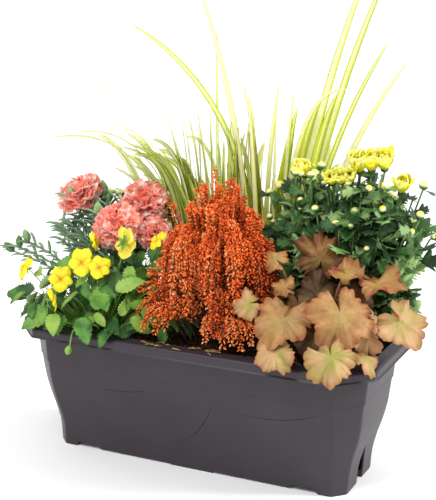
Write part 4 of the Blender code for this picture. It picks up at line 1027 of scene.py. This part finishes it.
def ruffled_leaf(hub, radius, axes, seed, tone, spokes=192, rings=22, cut=0.26, teeth=0.085, fall=1.0):
    """A coral bells leaf: seven overlapping round lobes, each r*(1 - cut*(da/0.5)^2.4), scalloped
    as |cos 9a|^0.6, cleft at the stalk; quilted between its veins and waved more towards the edge."""
    midrib, across, normal = axes
    draw = np.random.default_rng(seed)
    a = np.linspace(-math.pi, math.pi, spokes, endpoint=False)
    s = np.linspace(0, 1, rings + 1)[1:, None]
    middles = np.radians([0, 52, -52, 104, -104, 150, -150]) + draw.normal(0, 0.12, 7)
    reaches = np.array([1.06, 1.0, 1.0, 0.96, 0.96, 0.86, 0.86]) * draw.uniform(0.86, 1.10, 7)
    turn = (a[:, None] - middles + math.pi) % (2 * math.pi) - math.pi
    reach = (reaches * (1 - cut * np.abs(turn / 0.50) ** 2.4)).max(-1).clip(0.42)
    scallops = 1 - teeth * (1 - np.abs(np.cos(a * 9 + 0.6 * np.sin(3 * a) + draw.uniform(0, 3))) ** 0.6)
    cleft = 1 - 0.80 * np.exp(-((math.pi - np.abs(a)) / 0.12) ** 2)
    reach = reach * scallops * cleft
    bent = a[:, None] - middles + 0.16 * np.sin(3.0 * s[..., None] + middles * 3)
    bent = (bent + math.pi) % (2 * math.pi) - math.pi
    vein = np.abs(bent).min(-1)
    minor = np.abs(np.sin(math.pi * (3.5 * s - 2.4 * vein)))
    line = np.minimum(vein * s * 3.4, 0.035 + 0.60 * minor * np.sqrt(s))
    pucker = 0.035 * np.minimum(vein, 0.30) * s * (1.3 - s) + 0.012 * minor * s
    p = draw.uniform(0, 6, 6)
    wave = 0.17 * np.sin(3 * a + p[0]) + 0.12 * np.sin(5 * a + p[1]) + 0.060 * np.sin(8 * a + p[2])
    wave = wave + 0.030 * np.sin(15 * a + p[4])
    wave = wave + s ** 3 * (0.055 * np.sin(11 * a + p[5]) + 0.035 * np.sin(21 * a + p[0]))
    cup = draw.uniform(-0.30, 0.02) if fall > 0.5 else 0.12
    droop = -0.22 * fall * s ** 2 * np.maximum(np.cos(a), 0) + 0.10 * s ** 2 * np.sin(2 * a + p[3])
    roll = 0.05 * s * np.sin(4 * a + 5 * s + p[5])
    height = cup * s ** 2 + pucker + wave * s ** 2.4 + droop + roll
    direction = np.cos(a)[:, None] * midrib + np.sin(a)[:, None] * across
    plane = hub + direction * (reach * s)[..., None] * radius
    thick = LEAF_THICKNESS * (1.02 - s ** 4) / 2
    top = plane + normal * (height * radius + thick)[..., None]
    low = plane + normal * (height * radius - thick)[..., None]
    points = [[hub + normal * 0.0004], top.reshape(-1, 3), low.reshape(-1, 3), [hub - normal * 0.0004]]
    points = np.concatenate(points)
    index = np.arange(rings * spokes).reshape(rings, spokes) + 1
    beside = np.roll(index, -1, axis=1)
    below, far = index + rings * spokes, beside + rings * spokes
    quads = np.stack([index[:-1], index[1:], beside[1:], beside[:-1]], axis=-1).reshape(-1, 4)
    under = np.stack([below[:-1], far[:-1], far[1:], below[1:]], axis=-1).reshape(-1, 4)
    edge = np.stack([index[-1], below[-1], far[-1], beside[-1]], axis=-1)
    last = len(points) - 1
    fan = np.stack([np.zeros(spokes, int), index[0], beside[0]], axis=-1)
    fan_under = np.stack([np.full(spokes, last), far[0], below[0]], axis=-1)
    grain = np.stack(np.broadcast_arrays(line, s, tone), axis=-1).reshape(-1, 3)
    middle = np.array([[0.0, 0.0, tone]])
    grain = np.concatenate([middle, grain, grain, middle])
    flag = np.repeat([0.0, 1.0], 1 + rings * spokes)
    return points, [quads, under, edge, fan, fan_under], grain, flag


def make_coral_bells():
    """Ten leaves on their own stalks, and the young and shaded leaves between them as one piece."""
    skin = coral_bells_leaf()
    stem = plain_growth("coral_bells_stalk", "#6e3826", "#a8744a")
    for i, (name, hub, radius, azimuth, elevation, roll) in enumerate(CORAL_BELLS_LEAVES):
        axes = face_frame(azimuth, elevation, roll)
        cut, teeth = (0.42, 0.17) if name == "upright" else (0.20, 0.095)
        size = radius * (1.08 if name in ("upright", "rim_right") else 0.97)
        fall = 0.1 if name in ("right_back", "right_middle") else 1.0
        blade = ruffled_leaf(hub, size, axes, 70 + i, CORAL_BELLS_TONES[i], cut=cut, teeth=teeth, fall=fall)
        stem_tube = stalk(CORAL_BELLS_CROWN, hub, axes, CORAL_BELLS_STALK)
        node = "coral_bells_leaf_" + name
        piece(node + "_detail", [(blade, skin), (stem_tube, stem)], [node])
    leaves, stems = [], []
    for i, (hub, radius, azimuth, elevation, roll, tone) in enumerate(CORAL_BELLS_INNER):
        axes = face_frame(azimuth, elevation, roll)
        leaves.append(ruffled_leaf(hub, radius, axes, 85 + i, tone, 112, 14))
        stems.append(stalk(CORAL_BELLS_CROWN, hub, axes, CORAL_BELLS_YOUNG_STALK))
    piece("coral_bells_inner_leaves", [(join(*leaves), skin), (join(*stems), stem)])


def oval_blade(hub, radius, axes, tone, steps=34, columns=9):
    """A viola leaf: a long oval with round teeth, its edges lifted and its tip turned down."""
    midrib, across, normal = axes
    t = np.linspace(0, 1, steps)
    run = hub + midrib * ((t - 0.30) * radius * 2.0)[:, None]
    path = (run + normal * (-0.32 * radius * (t - 0.3) ** 2)[:, None])[None]
    half = radius * 0.64 * np.sin(math.pi * t ** 0.75) ** 0.8 + 0.0004
    teeth = 1 - 0.26 * (1 - np.abs(np.sin(t * math.pi * 7.5)) ** 0.6)
    c = np.linspace(-1, 1, columns)
    ruffle = 0.06 * radius * np.sin(t * 9 + tone * 9)[:, None] * c ** 2
    return ribbons(path, -across, half * teeth, BLADE_THICKNESS, columns, cup=0.16, fold=0.20, lift=ruffle,
                   tone=tone)


def viola_bloom(hub, radius, axes, seed):
    """Five rounded petals: two up, two out, and a broad lip below, over a green spurred calyx."""
    midrib, _, normal = axes
    draw = np.random.default_rng(seed)
    t = np.linspace(0, 1, 12)
    petals = []
    plan = ((28, 1.0, 0.50, -0.34, 0.15), (-28, 1.0, 0.50, -0.34, 0.15), (98, 0.86, 0.40, 0.05, 1.0),
            (-98, 0.86, 0.40, 0.05, 1.0), (180, 0.92, 0.58, 0.12, 1.0))
    for k, (angle, reach, wide, tilt, marks) in enumerate(plan):
        a = math.radians(angle + draw.normal(0, 5))
        way, flat = spoke(axes, a)
        out = (t * reach * radius)[:, None] * way
        bow = normal * (radius * (tilt * t + 0.22 * np.sin(math.pi * t) + 0.012 * k))[:, None]
        half = radius * wide * np.clip(np.sin(math.pi * (0.06 + 0.94 * t) ** 1.25), 0.02, 1) ** 0.6
        wobble = 0.05 * radius * np.sin(np.linspace(-1, 1, 9) * 5 + k) * t[:, None] ** 2
        path = (hub + out + bow)[None]
        petals.append(ribbons(path, -flat, half, PETAL_THICKNESS, 9, cup=-0.18, lift=wobble, tone=marks))
    sepals = []
    for k in range(5):
        a = 2 * math.pi * k / 5 + 0.3
        way, flat = spoke(axes, a)
        s = np.linspace(0, 1, 6)[:, None]
        path = hub - normal * radius * (0.14 + 0.05 * s) + way * radius * 0.55 * s
        half = radius * 0.10 * np.sin(math.pi * np.linspace(0.2, 0.97, 6))
        sepals.append(ribbons(path[None], -flat, half, THIN_PETAL, 3))
    spur = bezier(hub, hub - normal * radius * 0.35, hub - normal * radius * 0.5 + midrib * radius * 0.12, 6)
    return join(*petals), join(*sepals, tubes(spur, radius * 0.08, 6))


def make_violas():
    """Eight flowers and seven leaves on their own stalks, the leaves below them and a seed pod."""
    petal = viola_petal()
    stem = plain_growth("viola_stem", "#5f8f2e", "#8fb54c")
    leaf = green_leaf("viola_leaf", "#24501a", "#4c8624", "#8fb048", "#9ab780", 5.0)
    for i, (name, hub, radius, azimuth, elevation, roll) in enumerate(VIOLA_FLOWERS):
        if name == "right_nodding":
            azimuth, elevation = 165, -25
        axes = face_frame(azimuth, elevation, roll)
        bloom, green = viola_bloom(hub, radius * 1.12, axes, 90 + i)
        back = hub - axes[2] * radius * 0.3
        pull = (0.6, 0.4) if elevation > -10 else (-1.0, 0.0)
        green = join(green, stalk(VIOLA_CROWN, back, axes, VIOLA_STEM, pull))
        node = "viola_flower_" + name
        piece(node + "_detail", [(bloom, petal), (green, stem)], [node])
    for i, (name, hub, radius, azimuth, elevation, roll) in enumerate(VIOLA_LEAVES):
        axes = face_frame(azimuth, elevation, roll)
        tone = 0.35 + 0.6 * ((i * 0.37) % 1)
        blade = oval_blade(hub, radius, axes, tone)
        tube = stalk(VIOLA_CROWN, hub, axes, VIOLA_LEAF_STALK)
        node = "viola_leaf_" + name
        piece(node + "_detail", [(blade, leaf), (tube, stem)], [node])
    viola_underleaves(leaf, stem)
    pod = np.array((-0.146, -0.118, 0.166))
    thread = bezier((-0.148, -0.094, 0.186), (-0.144, -0.116, 0.190), pod, 9)
    seed_case = copies(turned(((0, 0.1), (0.3, 0.34), (0.6, 0.40), (0.9, 0.22), (1, 0.04)), 12), pod[None],
                       frames_from(np.array([[-0.3, -0.2, -1.0]])), [[0.012, 0.012, 0.013]], 0.4)
    piece("viola_seed_pod", [(join(tubes(thread, VIOLA_LEAF_STALK, 7), seed_case), stem)])


def viola_underleaves(leaf, stem):
    """The rest of the leaves: a low cushion round the crown, each facing up and out."""
    draw = np.random.default_rng(17)
    leaves, stems = [], []
    for turn, out in sunflower(UNDERLEAVES):
        x = VIOLA_CROWN[0] + 0.010 + 0.122 * out * math.cos(turn)
        y = VIOLA_CROWN[1] - 0.008 + 0.068 * out * math.sin(turn)
        z = 0.246 - 0.056 * out ** 2 + draw.normal(0, 0.014)
        radius = draw.uniform(0.011, 0.019)
        azimuth = math.degrees(math.atan2(math.cos(turn), -math.sin(turn)))
        axes = face_frame(azimuth + draw.normal(0, 30), draw.uniform(10, 70), 180 + draw.normal(0, 60))
        hub = np.array((x, y, max(z, 0.186)))
        leaves.append(oval_blade(hub, radius, axes, draw.uniform(0.0, 0.9), 31, 7))
        stems.append(stalk(VIOLA_CROWN, hub, axes, VIOLA_STEM, steps=8))
    # a darker group between the flowers and the heather: their lower tones are painted shade in the gap
    # between the plants
    for hub in DARK_LEAVES_AT + draw.normal(0, 1, (DARK_LEAVES, 3)) * (0.020, 0.012, 0.020):
        hub[2] = min(hub[2], DARK_LEAVES_TOP)
        axes = face_frame(draw.uniform(-40, 60), draw.uniform(10, 60), 180 + draw.normal(0, 60))
        leaves.append(oval_blade(hub, draw.uniform(0.012, 0.018), axes, draw.uniform(0.0, 0.5), 31, 7))
        stems.append(stalk(VIOLA_CROWN, hub, axes, VIOLA_STEM, steps=8))
    piece("viola_underleaves", [(join(*leaves), leaf), (join(*stems), stem)])


# ---- carnations -----------------------------------------------------------------------------


def carnation_head(hub, radius, axes, seed):
    """Layers of fan-shaped petals, each wider outwards, its edge toothed and crimped."""
    normal = axes[2]
    draw = np.random.default_rng(seed)
    t = np.linspace(0, 1, 10)
    c = np.linspace(-1, 1, 17)
    petals = []
    for layer, (count, rise) in enumerate(((3, 84), (4, 62), (5, 46), (6, 30), (6, 14), (7, 0))):
        for k in range(count):
            a = 2 * math.pi * (k + 0.37 * layer) / count + draw.normal(0, 0.14)
            e = math.radians(rise + draw.normal(0, 6))
            way, flat = spoke(axes, a)
            reach = radius * (0.48 + 0.62 * math.cos(e)) * draw.uniform(0.92, 1.1)
            foot = hub - normal * radius * 0.35
            out = way * math.cos(e) + normal * math.sin(e)
            end = foot + out * reach + normal * radius * 0.20
            path = bezier(foot, foot + normal * reach * 0.55 + way * reach * 0.25, end, 10)
            half = radius * (0.05 + 0.82 * t ** 1.1)
            crimp = 0.12 * radius * t[:, None] ** 2 * np.sin(c * 4 + draw.uniform(0, 6))
            crimp = crimp + 0.07 * radius * t[:, None] ** 3 * np.sin(c * 11 + draw.uniform(0, 6))
            teeth = t[:, None] ** 6 * radius * (0.06 * np.cos(c * 26 + k) - 0.30 * c ** 2)
            petals.append(ribbons(path, -flat, half, PETAL_THICKNESS, 17, cup=0.08, lift=crimp, push=teeth,
                                  tone=draw.uniform(0, 1)))
    return join(*petals)


def calyx(hub, radius, normal, length=0.9):
    """The green tube under a carnation, a little wider at its mouth."""
    tube = turned([(0, 0.10), (0.15, 0.20), (0.7, 0.24), (1.0, 0.26)], 10)
    start = hub - normal * radius * (length + 0.25)
    sizes = np.array([[radius, radius, radius * length]])
    return copies(tube, start[None], frames_from(normal[None]), sizes, 0.5)


def narrow_leaves(starts, ways, lengths, width, droop, draw, steps=9):
    """Thin curved leaves: from a stem outwards, bending over by droop, each turned its own way."""
    starts, ways = np.asarray(starts), unit(np.asarray(ways))
    lengths = np.asarray(lengths)[:, None]
    end = starts + ways * lengths + np.array([0, 0, -1]) * droop * lengths
    path = bezier(starts, starts + ways * lengths * 0.6 + np.array([0, 0, 0.15]) * lengths, end, steps)
    level = unit(np.cross(ways, (0.05, 0.03, 1.0)))
    roll = draw.uniform(0.3, 1.2, len(starts))[:, None]
    face = unit(level * np.cos(roll) + np.cross(level, ways) * np.sin(roll))[:, None]
    t = np.linspace(0, 1, steps)
    half = width / 2 * np.sqrt(np.clip(1.01 - t ** 2, 0, 1)) * np.clip(0.6 + 2 * t, 0, 1)
    return ribbons(path, -face, half, PETAL_THICKNESS, 5, fold=0.30, tone=draw.uniform(0, 1, len(starts)))


def pointed_buds(spots, ways, length, draw):
    """Closed carnation buds: slim ovals that end in a point."""
    shape = turned([(0, 0.10), (0.18, 0.26), (0.45, 0.34), (0.75, 0.24), (1.0, 0.03)], 9)
    ways = unit(np.asarray(ways, float))
    size = np.asarray(length)[:, None] * np.array([0.95, 0.95, 1.0])
    return copies(shape, np.asarray(spots), frames_from(ways), size, draw.uniform(0, 1, len(spots)))


def make_carnations():
    """Flower heads on curved stems, buds, and shoots with pairs of narrow leaves up each one."""
    petal = carnation_petal()
    leaf = green_leaf("carnation_leaf", "#2e4a2c", "#587a50", "#9ab68e", "#8fae88", 1.0, 0.6)
    draw = np.random.default_rng(23)
    centre = np.array([*CARNATION_CROWN, SOIL_TOP])
    for i, (name, hub, radius, azimuth, elevation) in enumerate(CARNATION_FLOWERS):
        axes = face_frame(azimuth, elevation, 0)
        head = carnation_head(hub, radius * 1.18, axes, 100 + i)
        green = calyx(hub, radius, axes[2])
        under = hub - axes[2] * radius * 1.1
        base = centre + (under - centre) * (0.25, 0.25, 0.0)
        path = bezier(base, base + (under - base) * (0.5, 0.5, 0.7), under, 14)
        green = join(green, tubes(path, CARNATION_STEM, 7))
        node = "carnation_flower_" + name
        piece(node + "_detail", [(head, petal), (green, leaf)], [node])
    spots, points, sizes = (np.array(a) for a in zip(*CARNATION_BUDS))
    tips = []
    count = CARNATION_SHOOTS
    for turn, out in sunflower(count):
        x = centre[0] - 0.008 + 0.088 * out * math.cos(turn)
        y = centre[1] + 0.004 + 0.026 * out * math.sin(turn)
        tips.append((x, y, 0.322 - 0.060 * out ** 2 + draw.normal(0, 0.012)))
    tips = np.concatenate([tips, spots])
    base = centre + (tips - centre) * (0.18, 0.18, 0)
    path = bezier(base, base + (tips - base) * (0.35, 0.35, 0.75), tips, 13)
    run = tangents(path)
    starts, ways, lengths = [], [], []
    for k in range(len(tips)):
        for j, level in enumerate((3, 5, 7, 8, 9, 10, 11, 12)):
            for sign in (1, -1):
                turn = j * 1.57 + k + (0 if sign > 0 else math.pi)
                out = np.array([math.cos(turn), math.sin(turn) * 0.8, 0.0])
                starts.append(path[k, level])
                ways.append(out + run[k, level] * draw.uniform(0.5, 1.4))
                lengths.append(draw.uniform(0.020, 0.040) * (0.75 if k >= count else 1))
    foliage = join(tubes(path, CARNATION_SHOOT, 6), narrow_leaves(starts, ways, lengths, 0.0044, 0.20, draw))
    piece("carnation_foliage_detail", [(foliage, leaf)], ["carnation_foliage"])
    buds = pointed_buds(spots, points, sizes, draw)
    skin = green_leaf("carnation_bud", "#3f6a38", "#5f8a50", "#9fbd84", "#9fbd84", 3.0, 0.5)
    piece("carnation_buds_detail", [(buds, skin)], ["carnation_flower_buds"])


# ---- chrysanthemum --------------------------------------------------------------------------


def lobed_leaves(starts, ways, faces, lengths, draw, steps=19, columns=5):
    """Chrysanthemum leaves: blunt lobes that point forward, from a narrow foot to a broad end."""
    starts, ways = np.asarray(starts), unit(np.asarray(ways))
    lengths = np.asarray(lengths)[:, None]
    end = starts + ways * lengths + np.array([0, 0, -0.16]) * lengths
    path = bezier(starts, starts + ways * lengths * 0.5 + np.array([0, 0, 0.10]) * lengths, end, steps)
    side = unit(np.cross(ways, faces))[:, None]
    t = np.linspace(0, 1, steps)
    broad = (0.06 + 0.94 * np.sin(math.pi * np.clip(t * 1.02, 0, 1) ** 1.1)) * np.clip(1.40 - t, 0, 1)
    lobes = 0.34 + 0.66 * np.abs(np.sin(math.pi * (t * 3.2 + 0.15))) ** 0.8
    half = lengths * 0.44 * broad * lobes * np.where(t > 0.97, 0.1, 1)
    c = np.abs(np.linspace(-1, 1, columns))
    push = half[:, :, None] * 0.75 * c ** 1.5
    return ribbons(path, side, half, BLADE_THICKNESS, columns, cup=-0.08, fold=0.18, push=push,
                   tone=draw.uniform(0, 1, len(starts)))


def daisy(hub, radius, axes, seed, openness):
    """A half-open chrysanthemum: rings of broad strap petals standing up round the heart."""
    normal = axes[2]
    draw = np.random.default_rng(seed)
    rows = ((4, 84, 0.80), (6, 66, 0.96), (8, 46, 1.0), (8, 26, 1.0))
    starts, ends, bends, sides = [], [], [], []
    for layer, (count, rise, reach) in enumerate(rows):
        for k in range(count):
            a = 2 * math.pi * (k + 0.4 * layer) / count + draw.normal(0, 0.12)
            e = math.radians(90 - (90 - rise) * openness + draw.normal(0, 5))
            way, flat = spoke(axes, a)
            length = radius * 1.35 * reach * draw.uniform(0.85, 1.1)
            foot = hub - normal * radius * 0.35 + way * radius * 0.20
            starts.append(foot)
            bends.append(foot + normal * length * 0.45 + way * length * 0.34)
            ends.append(foot + (way * math.cos(e) + normal * math.sin(e)) * length)
            sides.append(-flat)
    path = bezier(starts, bends, ends, 8)
    side = np.array(sides)[:, None]
    t = np.linspace(0, 1, 8)
    half = radius * 0.32 * np.clip(np.sin(math.pi * (0.12 + 0.80 * t)), 0.05, 1) ** 0.5
    return ribbons(path, side, half, THIN_PETAL, 5, cup=0.3, tone=draw.uniform(0, 1, len(starts)))


def make_chrysanthemum():
    """Shoots with lobed leaves spiralling up them, buds at their tips and half-open flowers."""
    petal = daisy_petal()
    bud_skin = daisy_bud()
    leaf = green_leaf("chrysanthemum_leaf", "#1a3a12", "#396628", "#92b26c", "#7d9f66", 4.0, 0.55)
    draw = np.random.default_rng(31)
    centre = np.array([*CHRYSANTHEMUM_CENTRE, SOIL_TOP])
    tips = []
    count = CHRYSANTHEMUM_SHOOTS
    for turn, out in sunflower(count, 0.7):
        x = centre[0] + 0.110 * out * math.cos(turn)
        y = centre[1] + 0.004 + 0.034 * out * math.sin(turn)
        tips.append((x, y, 0.368 - 0.060 * out ** 2.2 + draw.normal(0, 0.010) - 0.012 * (x < 0.10)))
    buds, widths = (np.array(a) for a in zip(*DAISY_BUDS))
    blooms = np.array([row[1] for row in CHRYSANTHEMUM_FLOWERS])
    blooms = np.concatenate([blooms, blooms + (0.014, 0.0, 0.0), blooms - (0.014, 0.0, 0.0)])
    tips = np.concatenate([tips, buds - (0, 0, 0.006), blooms - (0, 0, 0.020)])
    base = centre + (tips - centre) * (0.12, 0.3, 0)
    path = bezier(base, base + (tips - base) * (0.55, 0.6, 0.45), tips, 15)
    run = tangents(path)
    starts, ways, faces, lengths = [], [], [], []
    for k in range(len(tips)):
        levels = (4, 5, 6, 7, 8, 9, 10, 11, 12, 13, 14) if k < count else (10, 12, 13, 14)
        for j, level in enumerate(levels):
            turn = j * GOLDEN_TURN + k * 1.7
            out = np.array([math.cos(turn), math.sin(turn) * 0.7 - 0.25, 0.0])
            starts.append(path[k, level])
            ways.append(out + run[k, level] * draw.uniform(-0.1, 0.8))
            faces.append(np.array([0.25, -0.55, 0.8]) + draw.normal(0, 0.4, 3))
            short = 1.0 if k < count else 0.72
            lengths.append(draw.uniform(0.038, 0.064) * (1.12 - 0.038 * level) * short)
    # the shoots' own leaves first, then those under the buds and blooms
    low, high = slice(0, 11 * count), slice(11 * count, None)
    leaves = lobed_leaves(starts[low], ways[low], faces[low], lengths[low], draw)
    foliage = join(tubes(path, CHRYSANTHEMUM_STEM, 5), leaves)
    piece("chrysanthemum_foliage_detail", [(foliage, leaf)], ["chrysanthemum_foliage"])
    foliage = lobed_leaves(starts[high], ways[high], faces[high], lengths[high], draw)
    piece("chrysanthemum_top_leaves", [(foliage, leaf)])
    small = tips[:count:2] + draw.normal(0, 0.006, (count // 2, 3)) * (1, 0.6, 0.6) + (0, 0, 0.003)
    spots = np.concatenate([buds - (0, 0, 0.005), small])
    width = np.concatenate([widths, draw.uniform(0.0055, 0.0085, len(small))])
    way = draw.normal(0, 0.25, spots.shape) + (0, -0.15, 1)
    size = width[:, None] * np.array([1.0, 1.0, 1.02])
    shape = turned(BUD_SHAPE, 12)
    shape[3:6, ::2] *= (0.90, 0.90, 1)
    heads = copies(shape, spots, frames_from(way), size, draw.uniform(0, 1, len(spots)))
    piece("chrysanthemum_buds", [(heads, bud_skin)])
    for i, (name, hub, radius, azimuth, elevation) in enumerate(CHRYSANTHEMUM_FLOWERS):
        axes = face_frame(azimuth, elevation, 0)
        node = "chrysanthemum_" + name
        if name == "buds_left":
            spots = hub + draw.normal(0, 1, (6, 3)) * (0.011, 0.008, 0.004)
            size = np.full((6, 3), 0.0095)
            upright = frames_from(np.tile((0, 0, 1.0), (6, 1)))
            group = copies(shape, spots, upright, size, draw.uniform(0, 1, 6))
            stems = bezier(spots, spots - (0, 0, 0.02), spots - (0, 0, 0.04), 4)
            parts = [(group, bud_skin), (tubes(stems, CHRYSANTHEMUM_STEM, 6), leaf)]
            piece(node + "_detail", parts, [node])
            continue
        heads, cups = [], []
        offsets = ((0, 0, 0), (0.72, 0.2, 0.1), (-0.72, -0.2, -0.1)) if radius > 0.014 else ((0, 0, 0),)
        size = radius * (0.92 if radius > 0.014 else 1.25)
        for k, offset in enumerate(offsets):
            spot = hub + radius * np.array(offset) - (0, 0, 0.006)
            heads.append(daisy(spot, size, axes, 130 + 5 * i + k, 0.38))
            foot = spot - axes[2] * size * 0.66
            cups.append(copies(turned([(0, 0.10), (0.3, 0.40), (1.0, 0.46)], 12), foot[None],
                               frames_from(axes[2][None]), [[size * 0.66] * 3], 0.3))
            top = centre + (foot - centre) * (0.8, 0.9, 0.8)
            cups.append(tubes(bezier(top, (top + foot) / 2, foot, 6), CHRYSANTHEMUM_STEM, 6))
        piece(node + "_detail", [(join(*heads), petal), (join(*cups), leaf)], [node])


# ---- stage ----------------------------------------------------------------------------------


def make_camera():
    """A camera at CAMERA_DISTANCE from its aim, turned right of the front and raised."""
    azimuth, elevation = math.radians(CAMERA_TURN), math.radians(CAMERA_RISE)
    level = math.cos(elevation)
    back = Vector((math.sin(azimuth) * level, -math.cos(azimuth) * level, math.sin(elevation)))
    lens = bpy.data.cameras.new("camera")
    lens.lens = CAMERA_LENS
    camera = bpy.data.objects.new("camera", lens)
    bpy.context.scene.collection.objects.link(camera)
    camera.location = Vector(CAMERA_AIM) + back * CAMERA_DISTANCE
    camera.rotation_euler = back.to_track_quat("Z", "Y").to_euler()
    bpy.context.scene.camera = camera


def lamp(name, place, size, power, aim=(0, 0, 0.25), kind="AREA"):
    """A round area lamp of that width, or a sun of that angle, turned to its aim."""
    light = bpy.data.lights.new(name, kind)
    if kind == "AREA":
        light.shape = "DISK"
        light.size = size
    else:
        light.angle = size
    light.energy = power
    made = bpy.data.objects.new(name, light)
    bpy.context.scene.collection.objects.link(made)
    made.location = place
    made.rotation_euler = (Vector(place) - Vector(aim)).to_track_quat("Z", "Y").to_euler()


def make_stage():
    """A pale floor, a white backdrop, a sun from the right and behind, and a soft front lamp."""
    mesh = bpy.data.meshes.new("floor")
    mesh.from_pydata([(-40, -40, 0), (40, -40, 0), (40, 40, 0), (-40, 40, 0)], [], [(0, 1, 2, 3)])
    paper, _, shader = finish("pale_floor", 0.95)
    shader.inputs["Base Color"].default_value = linear("#fcfcfc")
    mesh.materials.append(paper)
    floor = bpy.data.objects.new("floor", mesh)
    bpy.context.scene.collection.objects.link(floor)
    # a white backdrop that lights the plants less than it shows
    world = bpy.data.worlds.new("studio")
    world.use_nodes = True
    tree = world.node_tree
    seen = add(tree, "LightPath", out="Is Camera Ray")
    strength = add(tree, "Math", {0: seen, 1: 0.20, 2: 0.80}, operation="MULTIPLY_ADD")
    sky = tree.nodes["Background"]
    sky.inputs["Color"].default_value = (1.0, 1.0, 1.0, 1.0)
    tree.links.new(strength, sky.inputs["Strength"])
    bpy.context.scene.world = world
    bpy.context.scene.view_settings.view_transform = "Standard"
    lamp("key_right_back", place=(2.4, 0.8, 1.9), size=math.radians(16), power=2.8, kind="SUN")
    lamp("front_fill", place=(-0.3, -1.6, 2.3), size=1.2, power=38.0)


make_camera()
make_stage()
make_trough()
make_soil()
make_grass()
make_heather()
make_coral_bells()
make_violas()
make_carnations()
make_chrysanthemum()
